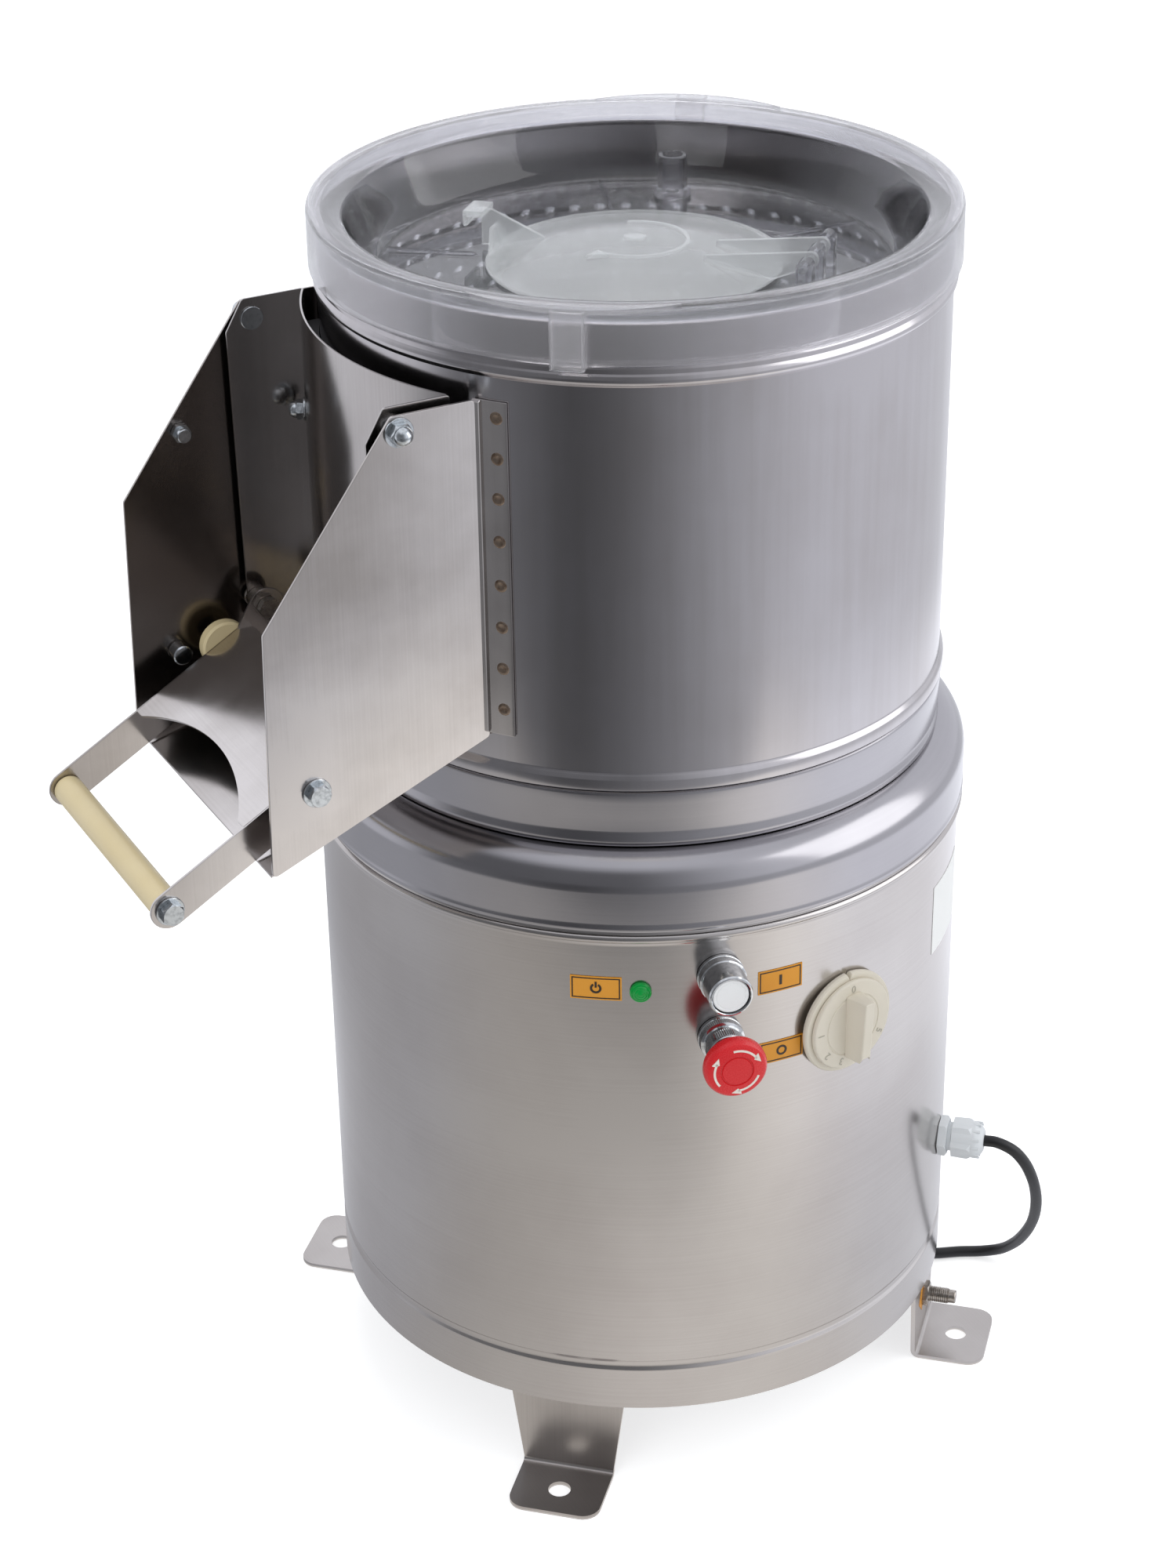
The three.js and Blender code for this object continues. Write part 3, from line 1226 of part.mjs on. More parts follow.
function coilPoint(turns) {
  const radius = coil.innerRadius + coil.pitch * Math.abs(turns - middle)
  const climb = THREE.MathUtils.clamp((turns - middle) / coil.climbTurns + halfShare, 0, 1)
  const angle = turns * Math.PI * 2
  const x = coil.centreX + radius * Math.cos(angle)
  const y = coil.centreY + radius * Math.sin(angle)
  return new THREE.Vector3(x, y, restZ + coil.pitch * climb)
}

function coilPath() {
  const count = Math.round(coil.turns * coil.stepsPerTurn)
  const points = []
  for (let i = 0; i <= count; i += 1) points.push(coilPoint((coil.turns * i) / count))
  const first = points[0].clone()
  const last = points[count].clone()
  first.y -= coil.straight
  last.x -= coil.straight
  return [first, ...points, last]
}

function sweep(points, radius, sides) {
  const up = new THREE.Vector3(0, 0, 1)
  const position = []
  const index = []
  points.forEach((point, i) => {
    const before = points[Math.max(i - 1, 0)]
    const after = points[Math.min(i + 1, points.length - 1)]
    const along = new THREE.Vector3().subVectors(after, before).normalize()
    if (i === 0 || i === points.length - 1) along.z = 0
    const sideways = new THREE.Vector3().crossVectors(along, up).normalize()
    const over = new THREE.Vector3().crossVectors(sideways, along)
    for (let k = 0; k < sides; k += 1) {
      const angle = (k * Math.PI * 2) / sides
      const spot = point.clone().addScaledVector(sideways, radius * Math.cos(angle))
      spot.addScaledVector(over, radius * Math.sin(angle))
      position.push(spot.x, spot.y, spot.z)
    }
  })
  const rings = points.length
  for (let i = 0; i < rings - 1; i += 1) {
    for (let k = 0; k < sides; k += 1) {
      const next = (k + 1) % sides
      const near = i * sides
      const far = near + sides
      index.push(near + k, near + next, far + k, near + next, far + next, far + k)
    }
  }
  for (let k = 1; k < sides - 1; k += 1) {
    index.push(0, k + 1, k)
    const end = (rings - 1) * sides
    index.push(end, end + k, end + k + 1)
  }
  const geometry = new THREE.BufferGeometry()
  geometry.setAttribute('position', new THREE.Float32BufferAttribute(position, 3))
  geometry.setIndex(index)
  return geometry
}

function leastSelfGap(points, radius) {
  let least = Infinity
  const skip = Math.round(coil.stepsPerTurn * halfShare)
  for (let i = 0; i < points.length; i += 1) {
    for (let j = i + skip; j < points.length; j += 1) {
      least = Math.min(least, points[i].distanceTo(points[j]))
    }
  }
  return least - radius * 2
}

const coilPoints = coilPath()
piece('cord_coil', toGeometry(toSolid(sweep(coilPoints, cord.radius, coil.sides))), rubber(), machine)
console.log(`least gap of the coil to itself: ${leastSelfGap(coilPoints, cord.radius).toFixed(2)} mm`)

// Tail and plug beside the coil
const coilEnd = coilPoints[coilPoints.length - 1]
const plugZ = floorZ + plug.level
const tailStart = [coilEnd.x - gap, coilEnd.y, coilEnd.z]
const tailEnd = [coilEnd.x - gap - plug.run, coilEnd.y, plugZ]
const tailThird = plug.run * thirdShare
const tailRoute = [tailStart, [tailStart[0] - tailThird, coilEnd.y, coilEnd.z],
  [tailEnd[0] + tailThird, coilEnd.y, plugZ], tailEnd]
const tail = tube(tailRoute, cord.tailSteps, cord.radius, cord.sides)
piece('cord_tail', toGeometry(toSolid(tail)), rubber(), machine)

function plugBody() {
  const neckEnd = plug.neckLength
  const face = neckEnd + plug.bodyLength
  const { shoulder, straight } = plug.bodyShares
  const body = revolveZ([
    [0, 0], [cord.radius + gap, 0], [plug.neckRadius, neckEnd],
    [plug.bodyRadius * shoulder, neckEnd + plug.neckRadius],
    [plug.bodyRadius, face - plug.bodyLength * straight], [plug.bodyRadius, face], [0, face],
  ], midSteps)
  const pins = [-1, 1].map((place) => rodZ(plug.pinRadius, face - gap, face + plug.pinLength)
    .translate(0, place * plug.pinSpread * halfShare, 0))
  return join(body, ...pins).rotateY(-quarter)
}
piece('plug', plugBody(), rubber(), machine).position.set(tailEnd[0] - gap, coilEnd.y, plugZ)

// The whole part stands at the middle of its footprint, feet at zero height
const cordNames = ['cord_lead', 'cord_coil', 'cord_tail', 'plug']
machine.updateMatrixWorld(true)
const extent = new THREE.Box3()
for (const [name, mesh] of meshes) {
  if (!cordNames.includes(name)) extent.expandByObject(mesh, true)
}
const centre = extent.getCenter(new THREE.Vector3())
machine.position.set(-centre.x, -centre.y, -extent.min.z)

const peeler = new THREE.Group()
peeler.name = 'potato_peeler'
peeler.add(machine)
peeler.updateMatrixWorld(true)

export default peeler
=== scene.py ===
"""Looks of a floor-standing electric potato peeler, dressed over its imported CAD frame.

Shapes are drawn in millimetres from the drum's axis, with zero height at the base shell's lower
edge, and are then placed in metres in the frame's own axes.
"""

import logging
import math
from dataclasses import dataclass
from enum import Enum
from functools import cache
from typing import Callable, Iterable, Sequence

import bmesh
import bpy
from mathutils import Matrix, Vector


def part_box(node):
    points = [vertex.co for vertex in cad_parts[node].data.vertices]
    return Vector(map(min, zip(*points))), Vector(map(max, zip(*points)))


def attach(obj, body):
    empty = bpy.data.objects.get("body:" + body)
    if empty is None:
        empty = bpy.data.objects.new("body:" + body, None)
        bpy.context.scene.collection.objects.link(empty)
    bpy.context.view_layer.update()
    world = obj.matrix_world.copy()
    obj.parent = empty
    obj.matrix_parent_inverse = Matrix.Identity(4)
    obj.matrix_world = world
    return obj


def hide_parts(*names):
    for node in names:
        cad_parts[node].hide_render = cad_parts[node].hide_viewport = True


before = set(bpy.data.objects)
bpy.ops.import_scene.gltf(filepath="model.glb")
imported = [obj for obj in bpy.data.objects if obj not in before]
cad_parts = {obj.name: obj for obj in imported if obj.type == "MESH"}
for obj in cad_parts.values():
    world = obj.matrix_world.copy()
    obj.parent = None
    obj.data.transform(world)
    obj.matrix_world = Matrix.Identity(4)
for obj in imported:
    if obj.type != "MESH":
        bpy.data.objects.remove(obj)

logging.basicConfig(level=logging.INFO, format="%(levelname)s %(message)s")
log = logging.getLogger("peeler")

Pair = tuple[float, float]
Triple = tuple[float, float, float]
Profile = tuple[Pair, ...]
Face = bpy.types.MeshPolygon
Node = bpy.types.Node
Object = bpy.types.Object
Socket = bpy.types.NodeSocket
Tree = bpy.types.NodeTree

MM = 0.001
FLOOR_DROP = 62.0
SMOOTH_ANGLE = 32.0
ORIGIN = Matrix.Identity(4)
# Reach towards the chute and height of the lever's pivots
LEVER_PIVOT = (222.0, 501.0)
# Reach from the axis and height of the hatch's hinge, and its degrees from the front
HINGE = (114.0, 734.3)
HATCH_TURN = 44.6


# Frame and placements shared by all pieces


def drum_axis() -> Vector:
    """Finds the drum's axis in the frame.

    Returns:
        The point on the axis at the height of the base shell's lower edge, in metres.
    """
    low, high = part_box("shoulder_cover")
    centre = (low + high) / 2
    return Vector((centre.x, centre.y, FLOOR_DROP * MM))


AXIS = drum_axis()
TO_FRAME = Matrix.Translation(AXIS) @ Matrix.Scale(MM, 4)


def shift(x: float, y: float, z: float) -> Matrix:
    """Gives a placement moved by three lengths."""
    return Matrix.Translation((x, y, z))


def swing(degrees: float, axis: str) -> Matrix:
    """Gives a placement turned round an axis through zero."""
    return Matrix.Rotation(math.radians(degrees), 4, axis)


def polar(radius: float, turn: float, level: float = 0.0) -> Vector:
    """Gives a point at a radius and height, turned in degrees from the front towards +X."""
    angle = math.radians(turn)
    return Vector((radius * math.sin(angle), -radius * math.cos(angle), level))


def outward(radius: float, turn: float, level: float) -> Matrix:
    """Gives a placement on the drum or base whose +Z points outwards and whose +Y points up.

    Args:
        radius: Distance from the axis.
        turn: Degrees from the front, growing towards +X.
        level: Height.

    Returns:
        The placement.
    """
    out = polar(1, turn)
    up = Vector((0, 0, 1))
    turned_axes = Matrix((up.cross(out), up, out)).transposed().to_4x4()
    return Matrix.Translation(polar(radius, turn, level)) @ turned_axes


class Side(Enum):
    """The two sides of the chute; the value is the sign of their Y."""

    FRONT = -1
    REAR = 1

    @property
    def label(self) -> str:
        """Gives the word used in the names of pieces."""
        return self.name.lower()

    def rear_face(self, reach: float, sheet: float) -> float:
        """Gives the rear face's Y of a sheet whose outer face lies at a reach from the middle."""
        return reach if self is Side.REAR else -reach + sheet

    def sweep_start(self, turns: Pair) -> float:
        """Gives where a sweep starts that lies between two angles from the chute's middle."""
        return -90 - turns[1] if self is Side.REAR else -90 + turns[0]


def along_y(side: Side, reach: float, level: float) -> Matrix:
    """Gives a placement whose +Z points out of a side, at a reach towards the chute."""
    return shift(-reach, 0, level) @ swing(-90 * side.value, "X")


# Modelling tools


def clear() -> None:
    """Leaves edit mode and deselects everything."""
    if bpy.context.object is not None and bpy.context.object.mode != "OBJECT":
        bpy.ops.object.mode_set(mode="OBJECT")
    bpy.ops.object.select_all(action="DESELECT")


def only(obj: Object) -> None:
    """Makes one object the selected and active one.

    Args:
        obj: The object.
    """
    clear()
    obj.select_set(True)
    bpy.context.view_layer.objects.active = obj


def faced_outwards() -> None:
    """Points all faces of the edited mesh outwards and leaves edit mode."""
    bpy.ops.mesh.select_all(action="SELECT")
    bpy.ops.mesh.normals_make_consistent(inside=False)
    bpy.ops.object.mode_set(mode="OBJECT")


def ring_of(name: str, points: Sequence[Iterable[float]], fill: str) -> Object:
    """Adds a closed ring of edges at the given points and edits it, with all selected.

    Args:
        name: Name of the new object.
        points: Corners in order.
        fill: NOTHING for edges alone, NGON for one face.

    Returns:
        The new object, in edit mode.
    """
    clear()
    bpy.ops.mesh.primitive_circle_add(vertices=len(points), radius=1.0, fill_type=fill)
    obj = bpy.context.object
    obj.name = name
    for vertex, point in zip(obj.data.vertices, points):
        vertex.co = point
    bpy.ops.object.mode_set(mode="EDIT")
    bpy.ops.mesh.select_all(action="SELECT")
    return obj


def turned(
    name: str, profile: Sequence[Pair], steps: int = 48, sweep: float = 360.0, start: float = 0.0
) -> Object:
    """Spins a closed profile of radius and height round Z.

    Args:
        name: Name of the new object.
        profile: Corners of the section, as radius and height.
        steps: Facets over the whole sweep.
        sweep: Degrees turned.
        start: Where the sweep starts, in degrees from the front.

    Returns:
        The spun object.
    """
    first = Matrix.Rotation(math.radians(start - 90), 3, "Z")
    obj = ring_of(name, [first @ Vector((radius, 0, level)) for radius, level in profile], "NOTHING")
    bpy.ops.mesh.spin(steps=steps, angle=-math.radians(sweep), center=(0, 0, 0), axis=(0, 0, 1))
    bpy.ops.mesh.select_all(action="SELECT")
    bpy.ops.mesh.remove_doubles(threshold=1e-4)
    bpy.ops.mesh.delete_loose()
    if sweep < 360:
        bpy.ops.mesh.select_all(action="SELECT")
        bpy.ops.mesh.fill_holes(sides=0)
    faced_outwards()
    return obj


def plate(name: str, outline: Sequence[Pair], thickness: float) -> Object:
    """Extrudes a flat outline upwards into a plate.

    Args:
        name: Name of the new object.
        outline: Corners in order, in X and Y.
        thickness: Height of the plate.

    Returns:
        The plate.
    """
    obj = ring_of(name, [(x, y, 0.0) for x, y in outline], "NGON")
    bpy.ops.mesh.extrude_region_move(TRANSFORM_OT_translate={"value": (0, 0, thickness)})
    faced_outwards()
    return obj


def upright(name: str, outline: Sequence[Pair], thickness: float, back: float) -> Object:
    """Extrudes an outline in X and height into a plate across Y, its rear face at a given Y."""
    standing = moved(plate(name, outline, thickness), swing(90, "X"))
    return moved(standing, shift(0, back, 0))


def radial_fin(
    name: str, outline: Sequence[Pair], thickness: float, offset: float, reach: float = 0.0
) -> Object:
    """Stands an eased plate along Y: its outline is in Y and height, its middle at an X offset."""
    fin = moved(moved(plate(name, outline, thickness), swing(90, "X")), swing(90, "Z"))
    return eased(moved(fin, shift(offset - thickness / 2, reach, 0)), 0.5)


def block(name: str, size: Triple, centre: Triple = (0, 0, 0)) -> Object:
    """Adds a block.

    Args:
        name: Name of the new object.
        size: Its three sides.
        centre: Where its middle lies.

    Returns:
        The block.
    """
    clear()
    bpy.ops.mesh.primitive_cube_add(size=1.0, location=centre, scale=size)
    obj = bpy.context.object
    obj.name = name
    bpy.ops.object.transform_apply(location=True, rotation=True, scale=True)
    return obj


def rod(
    name: str, radius: float, low: float, high: float, steps: int = 32, edge: float = 0.4
) -> Object:
    """Turns a plain rod along Z with softened ends.

    Args:
        name: Name of the new object.
        radius: Its radius.
        low: Height of its lower end.
        high: Height of its upper end.
        steps: Facets round it.
        edge: Width of the chamfer at both ends.

    Returns:
        The rod.
    """
    lower = [(0, low), (radius - edge, low), (radius, low + edge)]
    upper = [(radius, high - edge), (radius - edge, high), (0, high)]
    return turned(name, [*lower, *upper], steps)


def modified(obj: Object, kind: str, **settings: object) -> Object:
    """Adds a modifier and applies it.

    Args:
        obj: The piece.
        kind: Type of the modifier.
        settings: Its properties.

    Returns:
        The same piece.
    """
    only(obj)
    modifier = obj.modifiers.new(kind.title(), kind)
    for key, value in settings.items():
        setattr(modifier, key, value)
    bpy.ops.object.modifier_apply(modifier=modifier.name)
    return obj


def eased(obj: Object, width: float, segments: int = 2, angle: float = 40.0) -> Object:
    """Rounds the edges where two faces meet at more than an angle in degrees."""
    limits = {"limit_method": "ANGLE", "angle_limit": math.radians(angle)}
    return modified(obj, "BEVEL", width=width, segments=segments, harden_normals=False, **limits)


def carved(obj: Object, cutter: Object, operation: str = "DIFFERENCE") -> Object:
    """Cuts a piece with a cutter, which is removed.

    Args:
        obj: The piece.
        cutter: The shape that cuts.
        operation: DIFFERENCE, or INTERSECT to keep what lies inside the cutter.

    Returns:
        The same piece.
    """
    modified(obj, "BOOLEAN", object=cutter, operation=operation, solver="EXACT")
    bpy.data.objects.remove(cutter)
    return obj


def joined(name: str, parts: Sequence[Object]) -> Object:
    """Joins parts into the first one.

    Args:
        name: Name of the whole.
        parts: At least one part.

    Returns:
        The whole.
    """
    only(parts[0])
    for part in parts[1:]:
        part.select_set(True)
    if len(parts) > 1:
        bpy.ops.object.join()
    parts[0].name = name
    return parts[0]


def moved(obj: Object, place: Matrix) -> Object:
    """Moves an object's mesh and leaves the object itself at the origin."""
    obj.data.transform(place)
    return obj


def copied(obj: Object, name: str) -> Object:
    """Copies an object with its own mesh.

    Args:
        obj: The object.
        name: Name of the copy.

    Returns:
        The copy.
    """
    copy = obj.copy()
    copy.data = obj.data.copy()
    copy.name = name
    bpy.context.scene.collection.objects.link(copy)
    return copy


def pulled(obj: Object, test: Callable[[Vector], bool], way: Triple) -> Object:
    """Moves some corners in edit mode.

    Args:
        obj: The piece.
        test: Tells from its place whether a corner moves.
        way: How far it moves.

    Returns:
        The same piece.
    """
    only(obj)
    bpy.ops.object.mode_set(mode="EDIT")
    bpy.ops.mesh.select_all(action="DESELECT")
    mesh = bmesh.from_edit_mesh(obj.data)
    for vertex in mesh.verts:
        vertex.select_set(test(vertex.co))
    mesh.select_flush(True)
    bmesh.update_edit_mesh(obj.data)
    bpy.ops.transform.translate(value=way)
    bpy.ops.object.mode_set(mode="OBJECT")
    return obj


def added(name: str, data: bpy.types.ID) -> Object:
    """Adds an object for a curve, a lamp or a camera.

    Args:
        name: Its name.
        data: What it holds.

    Returns:
        The object.
    """
    obj = bpy.data.objects.new(name, data)
    bpy.context.scene.collection.objects.link(obj)
    return obj


def tube(
    name: str, points: Sequence[Iterable[float]], radius: float, rings: int, capped: bool
) -> Object:
    """Runs a round tube through points, as a curve.

    Args:
        name: Name of the new object.
        points: Points on its middle line.
        radius: Its radius, in the points' own unit.
        rings: How finely it is rounded.
        capped: True closes its ends.

    Returns:
        The curve.
    """
    data = bpy.data.curves.new(name, "CURVE")
    data.dimensions = "3D"
    data.bevel_depth = radius
    data.bevel_resolution = rings
    data.use_fill_caps = capped
    spline = data.splines.new("POLY")
    spline.points.add(len(points) - 1)
    for target, point in zip(spline.points, points):
        target.co = (*point, 1.0)
    return added(name, data)


def steps_between(start: float, end: float, count: int) -> list[float]:
    """Gives evenly spaced values from start to end, both included."""
    return [start + (end - start) * k / count for k in range(count + 1)]


def arc_points(centre: Pair, radius: float, start: float, end: float, count: int) -> list[Pair]:
    """Gives points on an arc, its angles in degrees."""
    angles = [math.radians(a) for a in steps_between(start, end, count)]
    return [(centre[0] + radius * math.cos(a), centre[1] + radius * math.sin(a)) for a in angles]


def rounded_outline(points: Sequence[Pair], radius: float, count: int = 5) -> list[Pair]:
    """Rounds the corners of a convex outline.

    Args:
        points: Corners in order.
        radius: Radius of each rounded corner.
        count: Steps on each corner.

    Returns:
        The rounded outline.
    """
    longest_share = 0.45
    result: list[Pair] = []
    for index, point in enumerate(points):
        corner = Vector(point)
        before = Vector(points[index - 1]) - corner
        after = Vector(points[(index + 1) % len(points)]) - corner
        wanted = radius / math.tan(before.angle(after) / 2)
        cut = min(wanted, before.length * longest_share, after.length * longest_share)
        start = corner + before.normalized() * cut
        end = corner + after.normalized() * cut
        for t in steps_between(0, 1, count):
            spot = start * (1 - t) ** 2 + corner * 2 * t * (1 - t) + end * t**2
            result.append((spot.x, spot.y))
    return result


def hex_head(radius: float, height: float, low: float = 0.0, domed: bool = False) -> Object:
    """Makes a chamfered hexagon head, or a domed cap nut.

    Args:
        radius: Half the width across corners.
        height: Height of the hexagon.
        low: Height of its seat.
        domed: True for a cap nut.

    Returns:
        The head.
    """
    corners = arc_points((0, 0), radius, 0, 300, 5)
    head = plate("head", corners, height)
    slope = [(radius * 0.97, -1), (radius * 1.01, height * 0.75), (radius * 0.86, height)]
    carved(head, turned("chamfer", [(0, -1), *slope, (0, height)], 32), "INTERSECT")
    eased(head, 0.25, 1, 35)
    if domed:
        base = radius * 0.8
        quarter = steps_between(0, math.pi / 2, 6)
        arc = [(base * math.cos(a), height + base * 0.95 * math.sin(a)) for a in quarter]
        sunk = height - 0.5
        head = joined("cap_nut", [head, turned("dome", [(0, sunk), (base, sunk), *arc], 28)])
    return moved(head, shift(0, 0, low))


def washer(radius: float, thickness: float, low: float) -> Object:
    """Makes a washer with softened edges."""
    return rod("washer", radius, low, low + thickness, 36, 0.25)


def bolt_end(face: float, radius: float, height: float, domed: bool = False) -> list[Object]:
    """Makes the washer and the head or cap nut that a bolt shows on a plate's outer face."""
    return [washer(9, 1.4, face + 0.3), hex_head(radius, height, face + 1.8, domed)]


# Finishes


def linear(code: str) -> tuple[float, ...]:
    """Turns an sRGB hex value into a linear colour."""
    parts = [int(code[i : i + 2], 16) / 255 for i in (1, 3, 5)]
    return (*[c / 12.92 if c <= 0.04045 else ((c + 0.055) / 1.055) ** 2.4 for c in parts], 1.0)


def add_node(
    tree: Tree, kind: str, inputs: dict | None = None, out: int | str | None = 0, **settings: object
) -> Socket | Node:
    """Adds a node with its settings, and sets or links its inputs.

    Args:
        tree: The node tree.
        kind: The node's type name without the ShaderNode prefix.
        inputs: Values or output sockets by input name or number.
        out: Name or number of the output to give, or None for the node itself.
        settings: Properties of the node.

    Returns:
        The output, or the node.
    """
    made = tree.nodes.new("ShaderNode" + kind)
    for key, value in settings.items():
        setattr(made, key, value)
    for key, value in (inputs or {}).items():
        if isinstance(value, bpy.types.NodeSocket):
            tree.links.new(value, made.inputs[key])
        else:
            made.inputs[key].default_value = value
    return made if out is None else made.outputs[out]


def per_metre(size_mm: float) -> float:
    """Gives a pattern's scale from the real size of its features."""
    return 1 / (size_mm * MM)


@dataclass(frozen=True)
class Pattern:
    """What drives a finish: its colour mix, its wear with the roughness it gives, and its relief."""

    mix: Socket | None
    wear: Socket | None
    rough: Pair
    relief: Socket
    strength: float
    depth_mm: float = 0.2


@dataclass(frozen=True)
class Finish:
    """A finish: its name, its slot, its colours where its pattern is low and high."""

    name: str
    slot: str
    low: str
    high: str
    roughness: float

    def values(self) -> dict[str, float]:
        """Gives the shader's own values."""
        return {}

    def pattern(self, tree: Tree) -> Pattern:
        """Adds the finish's pattern to a node tree and gives it."""
        raise NotImplementedError

    def build(self) -> bpy.types.Material:
        """Builds the material.

        Returns:
            The material.
        """
        made = bpy.data.materials.new(self.name)
        made.use_nodes = True
        tree = made.node_tree
        shader = tree.nodes["Principled BSDF"].inputs
        own = {"Roughness": self.roughness, "Base Color": linear(self.high), **self.values()}
        for key, value in own.items():
            shader[key].default_value = value
        drawn = self.pattern(tree)
        relief = {"Height": drawn.relief, "Strength": drawn.strength, "Distance": drawn.depth_mm * MM}
        tree.links.new(add_node(tree, "Bump", relief), shader["Normal"])
        if drawn.mix is not None:
            colours = {0: drawn.mix, 6: linear(self.low), 7: linear(self.high)}
            tree.links.new(add_node(tree, "Mix", colours, 2, data_type="RGBA"), shader["Base Color"])
        if drawn.wear is not None:
            span = {"Value": drawn.wear, "To Min": drawn.rough[0], "To Max": drawn.rough[1]}
            tree.links.new(add_node(tree, "MapRange", span), shader["Roughness"])
        return made


def centred_coords(tree: Tree) -> tuple[Socket, Node, Socket]:
    """Reads a piece's place from the drum's axis.

    Args:
        tree: The material's node tree.

    Returns:
        The object coordinates, a node that splits them once centred, and the angle round the axis.
    """
    coords = add_node(tree, "TexCoord", out="Object")
    centred = add_node(tree, "Mapping", {"Vector": coords, "Location": (-AXIS.x, -AXIS.y, 0)})
    split = add_node(tree, "SeparateXYZ", {"Vector": centred}, None)
    angle = add_node(tree, "Math", {0: split.outputs["Y"], 1: split.outputs["X"]}, operation="ARCTAN2")
    return coords, split, angle


class Grain(Enum):
    """How the lines of a brushed sheet run; the value is how often they change in a metre."""

    AROUND = 6.0
    UPRIGHT = 5.0
    SLOPING = 4.0


@dataclass(frozen=True)
class RolledSteel(Finish):
    """Stainless steel sheet, 304 grade, cold rolled and lightly brushed.

    The brush lines are far finer than a pixel, so they are drawn about 1 mm apart and very faint.
    Broad smudges from rolling and handling change the gloss, which the eye reads as bare metal.
    """

    grain: Grain
    line_mm: float
    smudge: float
    lines_share: float = 0.12
    bump: float = 0.012
    cloud_mm: float = 142.857
    fog_mm: float = 16.6667
    around_radius: float = 0.2
    tone_span: float = 0.3

    def values(self) -> dict[str, float]:
        """Gives the shader's own values."""
        return {"Metallic": 1.0}

    def pattern(self, tree: Tree) -> Pattern:
        """Draws stretched brush lines over broad clouds.

        Args:
            tree: The material's node tree.

        Returns:
            The pattern.
        """
        coords, split, angle = centred_coords(tree)
        wide, tall = per_metre(self.line_mm), self.grain.value
        if self.grain is Grain.AROUND:
            wide, tall = tall, wide
        across = split.outputs["X"]
        if self.grain is not Grain.SLOPING:
            # The drum's rough radius in metres turns the angle into a length
            across = add_node(tree, "Math", {0: angle, 1: self.around_radius}, operation="MULTIPLY")
        laid = {
            "X": add_node(tree, "Math", {0: across, 1: wide}, operation="MULTIPLY"),
            "Y": add_node(tree, "Math", {0: split.outputs["Z"], 1: tall}, operation="MULTIPLY"),
        }
        brushed = {"Vector": add_node(tree, "CombineXYZ", laid), "Scale": 1.0, "Detail": 3.0}
        lines = add_node(tree, "TexNoise", brushed)
        broad = {"Vector": coords, "Scale": per_metre(self.cloud_mm), "Detail": 5.0}
        clouds = add_node(tree, "TexNoise", broad)
        fog = add_node(tree, "TexNoise", {**broad, "Scale": per_metre(self.fog_mm)})
        sum_of = {0: lines, 1: self.lines_share, 2: clouds}
        both = add_node(tree, "Math", sum_of, operation="MULTIPLY_ADD")
        darkest = 0.35 + self.lines_share / 2
        tones = {"Value": both, "From Min": darkest, "From Max": darkest + self.tone_span}
        mix = add_node(tree, "MapRange", tones)
        wear = add_node(tree, "Math", {0: clouds, 1: fog}, operation="ADD")
        half = add_node(tree, "Math", {0: wear, 1: 0.5}, operation="MULTIPLY")
        rough = (self.roughness - self.smudge, self.roughness + self.smudge)
        return Pattern(mix, half, rough, lines, self.bump)


@dataclass(frozen=True)
class PlatedMetal(Finish):
    """Zinc or chrome plated steel: bright, slightly blue, with small pits and a little grime."""

    metallic: float = 1.0
    pit_mm: float = 2.63158

    def values(self) -> dict[str, float]:
        """Gives the shader's own values."""
        return {"Metallic": self.metallic}

    def pattern(self, tree: Tree) -> Pattern:
        """Draws grime in spots about 3 mm wide.

        Args:
            tree: The material's node tree.

        Returns:
            The pattern.
        """
        coords = add_node(tree, "TexCoord", out="Object")
        pits = {"Vector": coords, "Scale": per_metre(self.pit_mm), "Detail": 3.0}
        grime = add_node(tree, "TexNoise", pits)
        spots = add_node(tree, "MapRange", {"Value": grime, "From Min": 0.45, "From Max": 0.75})
        return Pattern(spots, grime, (self.roughness * 0.7, self.roughness * 1.4), grime, 0.12)


@dataclass(frozen=True)
class MouldedPlastic(Finish):
    """Moulded plastic such as ABS or polyamide: an even colour with the mould's fine satin grain."""

    grain_mm: float
    relief: float
    cloud_mm: float = 28.5714

    def values(self) -> dict[str, float]:
        """Gives the shader's own values."""
        return {"IOR": 1.5}

    def pattern(self, tree: Tree) -> Pattern:
        """Draws the mould's grain under broad, very faint clouds.

        Args:
            tree: The material's node tree.

        Returns:
            The pattern.
        """
        coords = add_node(tree, "TexCoord", out="Object")
        broad = {"Vector": coords, "Scale": per_metre(self.cloud_mm), "Detail": 4.0}
        cloud = add_node(tree, "TexNoise", broad)
        fine = {"Vector": coords, "Scale": per_metre(self.grain_mm), "Detail": 2.0}
        grain = add_node(tree, "TexNoise", fine)
        return Pattern(cloud, grain, (self.roughness - 0.06, self.roughness + 0.08), grain, self.relief)


@dataclass(frozen=True)
class ClearMoulding(Finish):
    """Clear moulded plastic: glass-like, with a faint tint in its edges and flow ripples."""

    clarity: float
    ripple: float
    alpha: float = 1.0
    flow_mm: float = 33.3333

    def values(self) -> dict[str, float]:
        """Gives the shader's own values."""
        return {"IOR": 1.45, "Transmission Weight": self.clarity, "Alpha": self.alpha}

    def pattern(self, tree: Tree) -> Pattern:
        """Draws slow ripples, about 30 mm wide, from the plastic's flow in its mould.

        Args:
            tree: The material's node tree.

        Returns:
            The pattern.
        """
        coords = add_node(tree, "TexCoord", out="Object")
        slow = {"Vector": coords, "Scale": per_metre(self.flow_mm), "Detail": 2.0}
        flow = add_node(tree, "TexNoise", slow)
        rough = (self.roughness * 0.6, self.roughness * 1.5)
        return Pattern(None, flow, rough, flow, self.ripple, 0.5)


